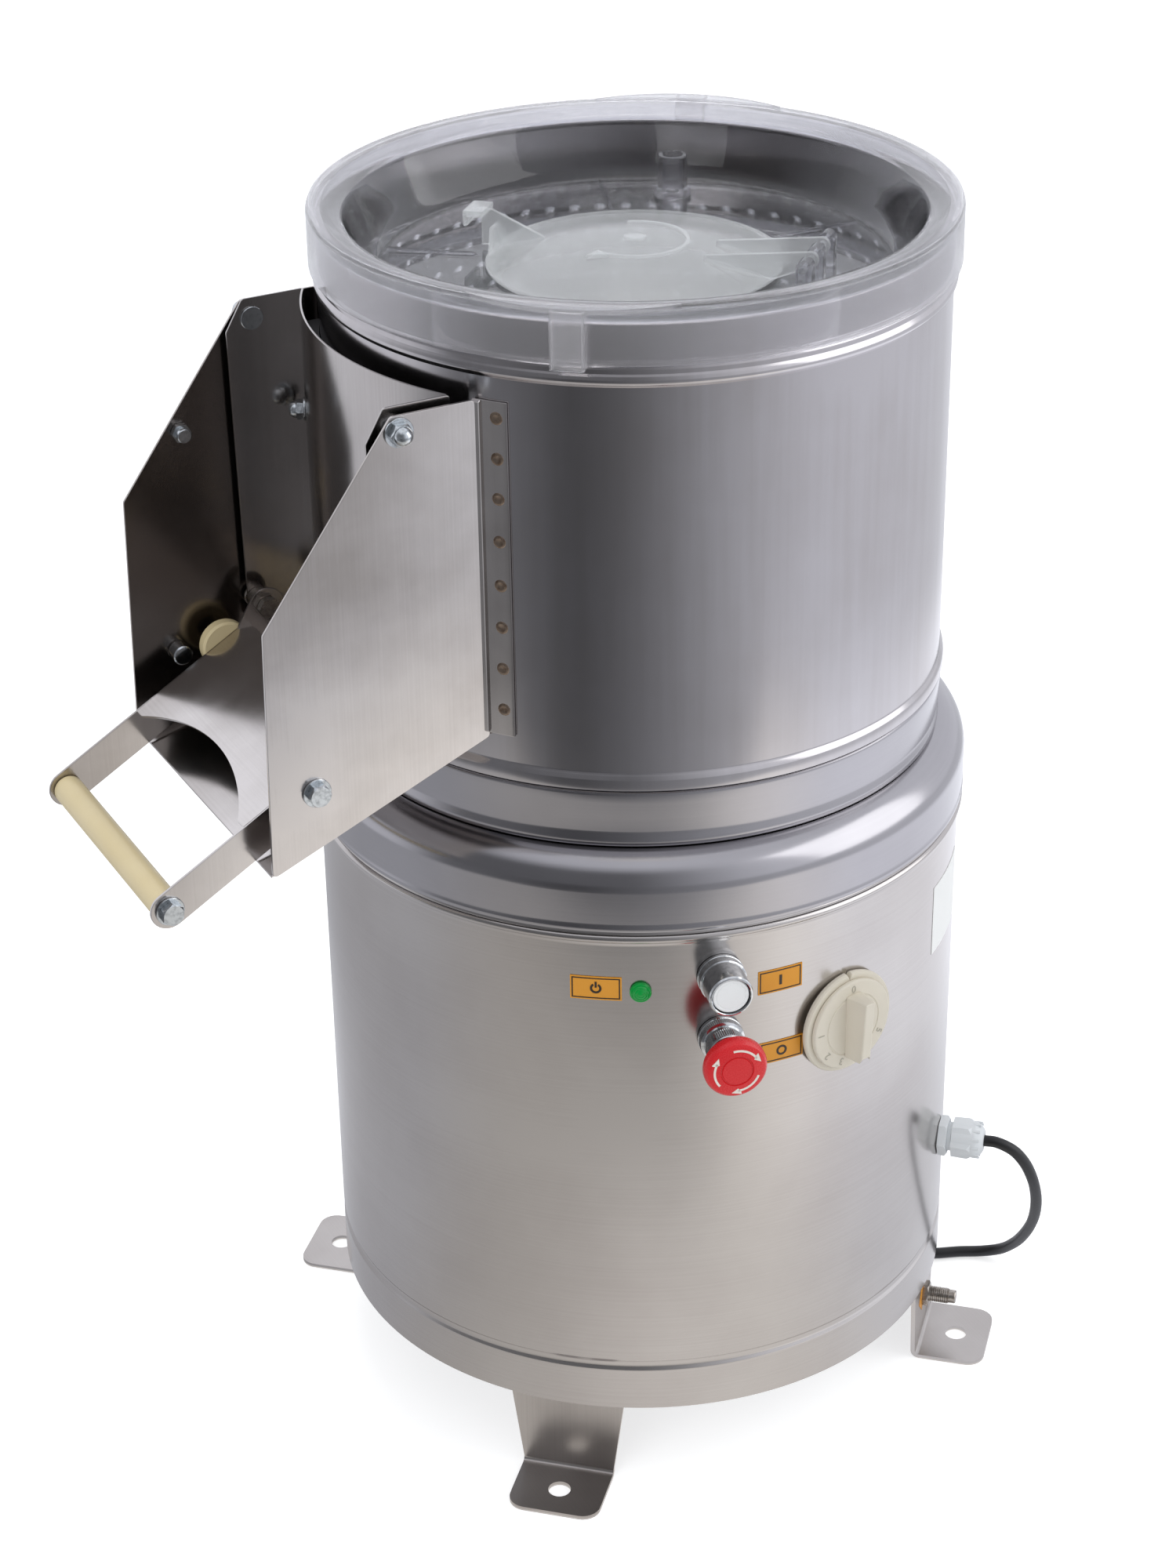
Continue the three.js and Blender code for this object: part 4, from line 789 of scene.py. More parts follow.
@dataclass(frozen=True)
class DimpledLiner(Finish):
    """Stainless liner pressed with staggered round dimples, 11 mm wide and 17 mm apart."""

    pitch_mm: float = 17.0
    dimple_mm: float = 5.5
    radius_mm: float = 192.0
    row_share: float = 0.87

    def values(self) -> dict[str, float]:
        """Gives the shader's own values."""
        return {"Metallic": 1.0}

    def pattern(self, tree: Tree) -> Pattern:
        """Draws rows of round dents, each lighter at its centre as a painted highlight.

        Args:
            tree: The material's node tree.

        Returns:
            The pattern.
        """
        _, split, angle = centred_coords(tree)
        row_mm = self.pitch_mm * self.row_share
        columns = round(2 * math.pi * self.radius_mm / self.pitch_mm) / (2 * math.pi)
        value = {"angle": angle, "height": split.outputs["Z"]}
        sums = (
            ("rows", "MULTIPLY", "height", per_metre(row_mm)), ("row", "FLOOR", "rows", 0.0),
            ("odd", "MODULO", "row", 2.0), ("stagger", "MULTIPLY", "odd", 0.5),
            ("arc", "MULTIPLY", "angle", columns), ("column", "ADD", "arc", "stagger"),
            ("in_column", "FRACT", "column", 0.0), ("from_column", "SUBTRACT", "in_column", 0.5),
            ("along", "MULTIPLY", "from_column", self.pitch_mm),
            ("in_row", "FRACT", "rows", 0.0), ("from_row", "SUBTRACT", "in_row", 0.5),
            ("up", "MULTIPLY", "from_row", row_mm),
            ("along_squared", "POWER", "along", 2.0), ("up_squared", "POWER", "up", 2.0),
            ("squares", "ADD", "up_squared", "along_squared"), ("distance", "SQRT", "squares", 0.0),
        )
        for name, operation, first, second in sums:
            terms = {0: value[first], 1: value.get(second, second)}
            value[name] = add_node(tree, "Math", terms, operation=operation)
        span = {"From Min": 1.5, "From Max": self.dimple_mm, "To Min": 1.0, "To Max": 0.0}
        inputs = {"Value": value["distance"], **span}
        # Each dent's centre takes the lighter colour as a painted highlight; the same value also gives the
        # dents their relief
        dent_and_glint = add_node(tree, "MapRange", inputs, interpolation_type="SMOOTHSTEP")
        return Pattern(dent_and_glint, None, (0, 0), dent_and_glint, 1.0, 2.5)


@dataclass(frozen=True)
class AbrasiveGrit(Finish):
    """Resin-bonded abrasive grit on a cast disc: matt grey-brown grains about 1.5 mm wide."""

    grit_mm: float = 1.5

    def pattern(self, tree: Tree) -> Pattern:
        """Draws packed grains.

        Args:
            tree: The material's node tree.

        Returns:
            The pattern.
        """
        coords = add_node(tree, "TexCoord", out="Object")
        packed = {"Vector": coords, "Scale": per_metre(self.grit_mm)}
        grains = add_node(tree, "TexVoronoi", packed, "Distance")
        return Pattern(grains, None, (0, 0), grains, 0.9, 0.8)


def finish_list() -> list[Finish]:
    """Lists the machine's finishes, each with what it gives the eye.

    Returns:
        The finishes.
    """
    around, up, slope = Grain.AROUND, Grain.UPRIGHT, Grain.SLOPING
    return [
        # Warm grey sheet whose faint level lines stretch each highlight up and down
        RolledSteel("base_shell_steel", "steel", "#b9b4b1", "#c5c1be", 0.2, around, 1.4, 0.05, 0.2, 0.006),
        # Pressed rings: a shade darker, with crisp highlights along their beads
        RolledSteel("pressed_ring_steel", "steel", "#a5a3a6", "#b1afb2", 0.19, around, 1.1, 0.04),
        # Glossy drum wall with broad upright streaks, drawn 9 mm apart so that they show
        RolledSteel("drum_wall_steel", "steel", "#b9b5b5", "#c4c1c3", 0.16, up, 9.0, 0.03, 0.35, 0.002),
        # Bright flat plates with soft clouds from handling
        RolledSteel("chute_plate_steel", "steel", "#b3ada8", "#d8d3d0", 0.17, slope, 1.4, 0.09, 0.1, 0.004),
        # Inner sides painted darker and browner than the plates' outsides: painted shade inside the chute
        RolledSteel("painted_shade_chute_steel", "steel", "#837c77", "#9a9592", 0.2, slope, 1.4, 0.06, 0.1, 0.004),
        # Smooth curved door that mirrors its plates
        RolledSteel("door_sheet_steel", "steel", "#b2adaa", "#c4c0be", 0.17, up, 1.6, 0.05, 0.2, 0.004),
        # Thick bent strip with a satin look and blurred highlights
        RolledSteel("foot_bracket_steel", "steel", "#ada7a3", "#c8c3bf", 0.3, slope, 1.0, 0.08, 0.15),
        # Plain unpolished sheet, dull and even
        RolledSteel("inner_sheet_steel", "steel", "#9d9da0", "#b9b9bb", 0.35, around, 1.2, 0.08),
        # Bluish white plating that sparkles on every hexagon edge
        PlatedMetal("zinc_plated_bolt", "zinc", "#d3d8db", "#a9adaf", 0.16),
        # Mirror-like plating with hard black and white reflections
        PlatedMetal("chrome_plated_brass", "polished", "#d8dadb", "#b5b8ba", 0.08),
        # Rubbed bolts with a brownish, half-dull sheen
        PlatedMetal("worn_pin_steel", "zinc", "#b3aca4", "#8d857c", 0.28),
        # Rings of straw and brown heat tint on bare metal
        PlatedMetal("weld_spot_steel", "steel", "#a08f80", "#7c6858", 0.4),
        # Cast metal under matt grey paint
        PlatedMetal("painted_casting", "cast_grey", "#62686c", "#4d5256", 0.6, 0.2),
        # Yellowed nylon with a soft satin glow
        MouldedPlastic("cream_polyamide", "cream_plastic", "#ddca9b", "#e5d5ad", 0.38, 0.8, 0.1),
        # Warm light grey with a gentle sheen, as on switch knobs
        MouldedPlastic("light_grey_abs", "grey_plastic", "#d8d0bf", "#e1dacb", 0.36, 0.7, 0.12),
        # Cool pale grey, slightly waxy
        MouldedPlastic("gland_polyamide", "grey_plastic", "#dadee1", "#e6e9eb", 0.4, 0.8, 0.12),
        # Clean white with a small clear highlight
        MouldedPlastic("white_push_cap", "white_plastic", "#eef0f0", "#f6f7f7", 0.3, 0.6, 0.05),
        # Signal red, glossy enough to show the lamps
        MouldedPlastic("red_stop_abs", "red_plastic", "#d41c23", "#e0252c", 0.26, 0.7, 0.06),
        # Matt off-white ink
        MouldedPlastic("white_print", "red_plastic", "#e8e0d5", "#f3ece2", 0.5, 0.6, 0.05),
        # Shadowed engraving, a step darker than the knob
        MouldedPlastic("engraved_shadow", "grey_plastic", "#aaa698", "#b9b5a7", 0.5, 0.6, 0.05),
        # Amber foil with a dull surface
        MouldedPlastic("amber_plate", "steel", "#dc9426", "#e8a02f", 0.45, 0.6, 0.05),
        # Brown-black ink
        MouldedPlastic("dark_print", "steel", "#2e251b", "#3b3024", 0.5, 0.6, 0.05),
        # Matt white paper
        MouldedPlastic("paper_label", "steel", "#f2f3f2", "#f8f9f8", 0.6, 0.5, 0.08),
        # Nearly black cable jacket with a long soft highlight
        MouldedPlastic("black_pvc", "black_rubber", "#0c0c0d", "#141416", 0.42, 0.9, 0.1),
        # Matt black rubber that swallows light
        MouldedPlastic("seal_rubber", "black_rubber", "#111112", "#1b1b1c", 0.6, 0.9, 0.15),
        # Glass-clear wall that shows the drum behind it, with bright edges
        ClearMoulding("clear_lid_plastic", "clear_plastic", "#f2f2f5", "#f2f2f5", 0.015, 1.0, 0.002, 0.85),
        # Worn rim and skirt with a thin milky veil
        ClearMoulding("ground_rim_plastic", "clear_plastic", "#e8e7e9", "#e8e7e9", 0.04, 0.84, 0.004, 0.8),
        # Frosted dome that glows softly and half hides what is below
        ClearMoulding("milky_hatch_plastic", "milk_plastic", "#dcdedf", "#dcdedf", 0.16, 0.62, 0.02, 0.64),
        # Deep green lens with a lit core
        ClearMoulding("green_lens", "green_plastic", "#10b84e", "#10b84e", 0.06, 0.35, 0.05),
        # Dents in rows whose centres are painted brighter than the duller wall: a painted highlight
        DimpledLiner("dimpled_liner_steel", "steel", "#b4b6b8", "#dedfe0", 0.26),
        # Sandpaper-like matt crust
        AbrasiveGrit("abrasive_grit", "steel", "#45413c", "#6e6a64", 0.92),
    ]


FINISHES = {finish.name: finish for finish in finish_list()}


@cache
def material(name: str) -> bpy.types.Material:
    """Gives a finish's material, built at its first use."""
    return FINISHES[name].build()


def put(
    obj: Object,
    finish: str,
    body: str,
    nodes: Iterable[str] = (),
    place: Matrix = ORIGIN,
    smooth: float = SMOOTH_ANGLE,
) -> Object:
    """Places a finished piece in the frame, dresses it and lets it ride on its body.

    Args:
        obj: The piece, in millimetres in its own placement.
        finish: Name of its finish.
        body: Name of the body that it moves with.
        nodes: CAD nodes that it stands for.
        place: Its placement in millimetres.
        smooth: Edges flatter than this many degrees are shaded smooth.

    Returns:
        The piece.
    """
    clear()
    moved(obj, TO_FRAME @ place)
    only(obj)
    bpy.ops.object.shade_smooth_by_angle(angle=math.radians(smooth))
    modified(obj, "WEIGHTED_NORMAL", keep_sharp=True, weight=100)
    obj.data.materials.clear()
    obj.data.materials.append(material(finish))
    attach(obj, body)
    if nodes:
        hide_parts(*nodes)
    log.info("%s: %d faces, on %s", obj.name, len(obj.data.polygons), body)
    return obj


def part_finished(obj: Object, finish: str, test: Callable[[Face], bool]) -> None:
    """Gives the faces of a placed piece that pass a test a second finish.

    Args:
        obj: The piece.
        finish: Name of the second finish.
        test: Tells whether a face takes it.
    """
    obj.data.materials.append(material(finish))
    for face in obj.data.polygons:
        if test(face):
            face.material_index = 1


def dress(nodes: Iterable[str], finish: str) -> None:
    """Gives CAD nodes that stay visible a finish and smooth shading.

    Args:
        nodes: Names of the nodes.
        finish: Name of the finish.
    """
    for name in nodes:
        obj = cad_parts[name]
        obj.data.materials.clear()
        obj.data.materials.append(material(finish))
        only(obj)
        bpy.ops.object.shade_smooth_by_angle(angle=math.radians(SMOOTH_ANGLE))
        obj.select_set(False)
        log.info("%s: dressed in %s", name, finish)


# Supply cord


@dataclass
class SupplyCord:
    """The mains cord: from the gland in one curve to the floor, then wound into a coil."""

    diameter: float = 8.0
    floor: float = -58.0
    exit_turn: float = 47.4
    exit_reach: float = 242.3
    level: float = 107.0
    coil_centre: Pair = (24.0, 281.0)
    coil_inner: float = 34.0
    pitch: float = 8.7
    turns: float = 4.25
    climb: float = 0.5
    straight: float = 8.0
    tail: float = 26.0
    plug_level: float = -43.0
    pin_apart: float = 19.0
    samples: int = 4
    coil_steps: int = 36

    def route(self) -> list[Vector]:
        """Gives the listed points from the gland to the coil's start.

        Returns:
            The points.
        """
        first = polar(self.exit_reach, self.exit_turn, self.level)
        second = polar(self.exit_reach + 8, self.exit_turn, self.level)
        hung = [
            (193.5, -176, 101.5), (201.5, -178.5, 91), (210.5, -176.5, 74), (219.5, -170, 54),
            (228, -160, 32), (236, -146, 8), (242, -129, -16), (246, -112, -36), (245, -97, -50.5),
            (237, -85.5, -57), (223, -77, -58), (204, -69, -58), (182, -52, -58), (158, -22, -58),
            (134, 22, -58), (112, 72, -58), (96, 124, -58), (84, 176, -58), (77.5, 222, -58),
        ]
        outer = self.coil_inner + self.pitch * self.turns / 2
        x, y = self.coil_centre
        last = Vector((x + outer, y - self.straight - 0.3, self.floor))
        return [first, second, *[Vector(point) for point in hung], last]

    def smooth(self, points: Sequence[Vector]) -> list[Vector]:
        """Runs a centripetal curve through points, as the CAD route does.

        Args:
            points: Points that the curve passes through.

        Returns:
            Points on the curve.
        """
        ends = [points[0] * 2 - points[1], *points, points[-1] * 2 - points[-2]]
        result = [points[0].copy()]
        for p0, p1, p2, p3 in zip(ends, ends[1:], ends[2:], ends[3:]):
            gaps = [max((b - a).length ** 0.5, 1e-4) for a, b in ((p0, p1), (p1, p2), (p2, p3))]
            t1 = (p1 - p0) / gaps[0] - (p2 - p0) / (gaps[0] + gaps[1]) + (p2 - p1) / gaps[1]
            t2 = (p2 - p1) / gaps[1] - (p3 - p1) / (gaps[1] + gaps[2]) + (p3 - p2) / gaps[2]
            t1, t2 = t1 * gaps[1], t2 * gaps[1]
            for t in steps_between(0, 1, self.samples)[1:]:
                spot = p1 * (2 * t**3 - 3 * t**2 + 1) + t1 * (t**3 - 2 * t**2 + t)
                result.append(spot + p2 * (3 * t**2 - 2 * t**3) + t2 * (t**3 - t**2))
        return result

    def coil(self) -> list[Vector]:
        """Gives the coil's points: a layer spiralling in, a climb, and a layer spiralling out.

        Returns:
            The points.
        """
        middle = self.turns / 2
        count = round(self.turns * self.coil_steps)
        points = []
        for turn in steps_between(0, self.turns, count):
            radius = self.coil_inner + self.pitch * abs(turn - middle)
            rise = min(max((turn - middle) / self.climb + 0.5, 0.0), 1.0)
            angle = turn * 2 * math.pi
            x = self.coil_centre[0] + radius * math.cos(angle)
            y = self.coil_centre[1] + radius * math.sin(angle)
            points.append(Vector((x, y, self.floor + self.pitch * rise)))
        return points

    def tail_points(self, last: Vector) -> list[Vector]:
        """Gives the short end that drops from the coil to the plug.

        Args:
            last: The coil's last point.

        Returns:
            The points.
        """
        third = self.tail / 3
        start = last + Vector((-self.straight, 0, 0))
        end = Vector((start.x - self.tail, last.y, self.plug_level))
        near = Vector((end.x + third, last.y, self.plug_level))
        return self.smooth([start, start + Vector((-third, 0, 0)), near, end])

    def build(self) -> None:
        """Lays the cord and its plug."""
        coil = self.coil()
        points = [*self.smooth(self.route()), *coil, *self.tail_points(coil[-1])]
        placed = [TO_FRAME @ point for point in points]
        obj = tube("supply_cord", placed, self.diameter / 2 * MM, 3, True)
        obj.data.splines[0].use_smooth = True
        obj.data.materials.append(material("black_pvc"))
        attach(obj, "base")
        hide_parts("cord_lead", "cord_coil", "cord_tail")
        plug = self.plug(points[-1])

    def plug(self, start: Vector) -> Object:
        """Makes a round two-pin plug with a ribbed neck, its pins along -X.

        Args:
            start: Where the cord enters it.

        Returns:
            The plug.
        """
        neck = [(0, 0.3), (4.4, 0.3)]
        for low, wide in zip((1, 4.2, 7.4, 10.6), (5.6, 5.95, 6.3, 6.65)):
            neck += [(wide, low), (wide, low + 2.0), (wide - 1.0, low + 2.3), (wide - 1.0, low + 3.0)]
        body = [*neck, (13.9, 21.3), (17.2, 26), (18.3, 31), (18.3, 46), (17.2, 48), (0, 48)]
        shell = eased(turned("plug", body, 40), 0.5, 2, 35)
        pins = []
        for side in Side:
            pin = turned("pin", [(0, 47.5), (2.4, 47.5), (2.4, 65), (1.4, 66.8), (0, 67)], 16)
            pins.append(moved(pin, shift(0, side.value * self.pin_apart / 2, 0)))
        place = Matrix.Translation(start + Vector((-0.3, 0, 0))) @ swing(-90, "Y")
        plug = put(shell, "black_pvc", "base", ["plug"], place)
        prongs = joined("plug_pins", pins)
        put(prongs, "chrome_plated_brass", "base", place=place)
        prongs.parent = plug
        return plug


@dataclass
class CableGland:
    """Grey plastic gland: a flange nut on the shell, a threaded neck and a tapered dome nut."""

    reach: float = 211.0
    turn: float = 47.4
    level: float = 107.0
    across: float = 14.0
    ribs: int = 12

    def build(self) -> None:
        """Builds both halves."""
        place = outward(self.reach, self.turn, self.level)
        hexes = [hex_head(self.across, high - low, low) for low, high in ((0.3, 6.3), (-7.7, -2.7))]
        neck = turned("neck", [(0, -12), (9.8, -12), (9.8, 9.0), (0, 9.0)], 32)
        body = joined("gland_body_half", [*hexes, neck])
        put(body, "gland_polyamide", "base", ["gland_body"], place)
        profile = [
            (4.3, 9.6), (12.6, 9.6), (12.6, 24), (12.1, 26), (10.8, 28.3), (8.6, 30.2), (7, 31), (4.3, 31),
        ]
        parts = [hex_head(self.across, 14.5, 9.4), turned("gland_dome", profile, 40)]
        for index in range(self.ribs):
            rib = moved(block("rib", (1.4, 2.0, 5.5), (12.0, 0, 26.2)), swing(360 / self.ribs * index, "Z"))
            parts.append(eased(rib, 0.3, 1, 35))
        put(joined("gland_dome_nut", parts), "gland_polyamide", "base", ["gland_nut"], place)


# Base


@dataclass
class BaseUnit:
    """The round base: shell, shoulder cover, neck ring, feet, earth stud and waste pipe."""

    radius: float = 211.0
    steps: int = 160
    foot_turn: float = 47.4
    foot_wide: float = 76.0
    foot_faces: Pair = (201.8, 204.8)
    foot_hole: Pair = (229.0, 7.5)
    stud_level: float = -28.0
    stud_nut: Pair = (9.0, 4.0)
    pipe_radius: float = 26.25
    pipe_wall: float = 1.5
    pipe_bend: float = 38.0

    def build(self) -> None:
        """Builds the base's pieces."""
        self.shell()
        self.shoulder()
        self.neck()
        self.feet()
        self.earth_stud()
        self.waste_pipe()
        self.inner_sheets()

    def shell(self) -> None:
        """Rolls the shell with its foot groove and top bead."""
        r = self.radius
        bead = arc_points((r + 0.2, 360.5), 2.8, -75, 75, 8)
        profile = [
            (r - 1.5, 0), (r, 0), (r, 30), (r - 0.3, 31.2), (r - 1.1, 32.6), (r - 1.5, 34.2),
            (r - 1.5, 35.8), (r - 1.1, 37.4), (r - 0.3, 38.8), (r, 40), (r, 354.6), (r + 0.9, 356.6),
            *bead, (r + 0.9, 364.6), (r, 366), (r, 373), (r - 1.5, 373), (r - 1.5, 40.5), (r - 2.7, 37),
            (r - 2.7, 33), (r - 1.5, 29.5),
        ]
        shell = turned("base_shell_rolled", profile, self.steps)
        put(shell, "base_shell_steel", "base", ["base_shell"])

    def shoulder(self) -> None:
        """Presses the shoulder cover with its large round-over."""
        skirt = [(212.6, 366.4), (213.6, 366.4), (214, 367.2), (214, 369.2), (213.5, 370.4), (213.7, 372)]
        outer = [(213.8, 393), *arc_points((192, 393), 21.9, 4, 90, 14), (186, 414.9)]
        inner = [(186, 413.5), *arc_points((192, 393), 20.4, 90, 0, 12)]
        cover = turned("shoulder_cover_pressed", [*skirt, *outer, *inner], self.steps)
        put(cover, "pressed_ring_steel", "base", ["shoulder_cover"])

    def neck(self) -> None:
        """Rolls the neck ring with its bulged foot and dark upper seam."""
        profile = [
            (184.3, 415.4), (194.2, 415.4), (195.2, 416.4), (195.7, 418.5), (195.6, 421), (194.9, 423.2),
            (194.7, 426), (195.6, 436), (196.4, 446), (196.8, 451), (196.6, 452.6), (195.6, 453.4),
            (193.5, 453.6), (193.2, 446), (192.3, 424), (192.3, 417.3), (184.3, 417.3),
        ]
        ring = turned("neck_ring_rolled", profile, self.steps)
        put(ring, "pressed_ring_steel", "base", ["neck_ring"])

    def foot(self) -> Object:
        """Bends one foot: a leg that narrows downwards and a pad with a hole and rounded corners.

        Returns:
            The foot, pointing along +X.
        """
        inner, outer = self.foot_faces
        half = self.foot_wide / 2
        section = [(inner, 28), (inner, -56), *arc_points((inner + 6, -56), 6, 180, 270, 6), (252, -62)]
        section += [(252, -59), *arc_points((inner + 6, -56), 3, 270, 180, 6), (outer, 28)]
        strip = upright("foot", section, self.foot_wide, half)
        front = [(-half, 40), (-half, -3), (-31, -56), (-31, -70), (31, -70), (31, -56)]
        front += [(half, -3), (half, 40)]
        facing_x = Matrix(((0, 0, 1, 0), (1, 0, 0, 0), (0, 1, 0, 0), (0, 0, 0, 1)))
        carved(strip, moved(plate("taper", front, 300), facing_x), "INTERSECT")
        pad = [(100, -60), (236, -60), (237, -31), *arc_points((240, -19), 12, -80, 0, 6)]
        pad += [*arc_points((240, 19), 12, 0, 80, 6), (237, 31), (236, 60), (100, 60)]
        carved(strip, moved(plate("rounder", pad, 140), shift(0, 0, -80)), "INTERSECT")
        reach, radius = self.foot_hole
        carved(strip, moved(rod("hole", radius, -80, -40, 40), shift(reach, 0, 0)))
        return eased(strip, 0.45)

    def feet(self) -> None:
        """Copies the foot to its four places."""
        first = self.foot()
        for index in range(4):
            place = swing(self.foot_turn + 90 * index - 90, "Z")
            copy = copied(first, f"foot_bracket_{index + 1}")
            put(copy, "foot_bracket_steel", "base", [f"foot_{index + 1}"], place, 28)
        bpy.data.objects.remove(first)

    def earth_stud(self) -> None:
        """Makes the earth stud, its nuts and the small amber diamond behind it."""
        place = outward(self.foot_faces[1], self.foot_turn, self.stud_level)
        thread = []
        for index in range(9):
            low = 5.2 + index * 1.4
            thread += [(5.5, low), (5.5, low + 0.7), (4.9, low + 1.0), (4.9, low + 1.3)]
        profile = [(0, -3.6), (5.4, -3.6), *thread, (5.4, 18), (4.6, 18.2), (4.6, 22.4), (4.1, 23), (0, 23)]
        parts = [turned("stud", profile, 28), hex_head(*self.stud_nut, -7.3)]
        put(joined("earth_stud_threaded", parts), "worn_pin_steel", "base", ["earth_stud"], place)
        put(hex_head(*self.stud_nut, 0.3), "worn_pin_steel", "base", ["earth_nut"], place)
        diamond = plate("earth_mark_plate", [(-13, 0), (0, -13), (13, 0), (0, 13)], 0.25)
        put(diamond, "amber_plate", "base", place=place @ shift(-6, 2, 0.02))

    def waste_pipe(self) -> None:
        """Bends the waste pipe out of the pan and through the back of the shell."""
        bend = self.pipe_bend
        points = [(0, 150.0, 417.0), (0, 150.0, 358.0)]
        for angle in steps_between(0, math.pi / 2, 8):
            points.append((0, 188 - bend * math.cos(angle), 358 - bend * math.sin(angle)))
        points.append((0, 240.0, 320.0))
        only(tube("waste_pipe_line", points, self.pipe_radius, 10, False))
        bpy.ops.object.convert(target="MESH")
        pipe = modified(bpy.context.object, "SOLIDIFY", thickness=self.pipe_wall, offset=0.0)
        pipe.name = "waste_pipe_bent"
        put(eased(pipe, 0.3, 1, 60), "inner_sheet_steel", "base", ["drain_spout"])

    def inner_sheets(self) -> None:
        """Dresses the CAD nodes that stay as they are inside the base."""
        dress(("base_plate", "motor_deck", "drum_pan"), "inner_sheet_steel")
        dress(("motor_body", "motor_pulley", "driven_pulley", "bearing_housing"), "painted_casting")
        dress(("bearing_lower", "bearing_upper"), "chrome_plated_brass")
        dress(("drive_shaft", "disc_nut"), "zinc_plated_bolt")
        dress(("drive_belt", "shaft_seal"), "seal_rubber")
        dress(("drum_liner",), "dimpled_liner_steel")
        dress(("abrasive_disc",), "abrasive_grit")


# Drum


@dataclass
class DrumUnit:
    """The drum shell with its beads, and the rubber frame round the window."""

    radius: float = 195.0
    steps: int = 160
    window_size: Triple = (180.0, 176.0, 187.0)
    window_level: float = 582.5
    seal_levels: Pair = (482.2, 681.8)

    def build(self) -> None:
        """Builds the drum's pieces."""
        r = self.radius
        profile = [
            (r - 1.5, 454.5), (r + 1.6, 454.5), (r + 2.5, 455.4), (r + 2.6, 457), (r + 2.6, 461.4),
            (r + 2.1, 463.3), (r + 0.9, 465), (r, 466.5), (r, 711.6), (r + 0.8, 712.6), (r + 2.2, 714),
            (r + 2.6, 715.6), (r + 2.5, 717.6), (r + 1.6, 719), (r + 1.0, 720), (r + 1.1, 722.4),
            (r + 0.7, 724), (r, 725), (r, 749.2), (r - 0.7, 750), (r - 2.9, 750), (r - 3.5, 749.4),
            (r - 3.4, 747.5), (r - 1.5, 745),
        ]
        drum = turned("drum_shell_rolled", profile, self.steps)
        carved(drum, block("window", self.window_size, (-165, 0, self.window_level)))
        put(drum, "drum_wall_steel", "base", ["drum_shell"])
        self.seal()

    def seal(self) -> None:
        """Makes the rubber frame that the closed door presses on."""
        low, high = self.seal_levels
        outer = [(203.2, low), (204.6, low + 1.5), (204.6, high - 1.5), (203.2, high)]
        ring = turned("door_seal_frame", [(195.3, low), *outer, (195.3, high)], 60, 64, -122)
        carved(ring, block("window", (120, 176.4, 187.2), (-200, 0, self.window_level)))
        carved(ring, block("keep", (160, 193.6, 260), (-200, 0, 584)), "INTERSECT")
        put(eased(ring, 0.6, 2, 45), "seal_rubber", "base", ["door_seal"])


# Discharge chute


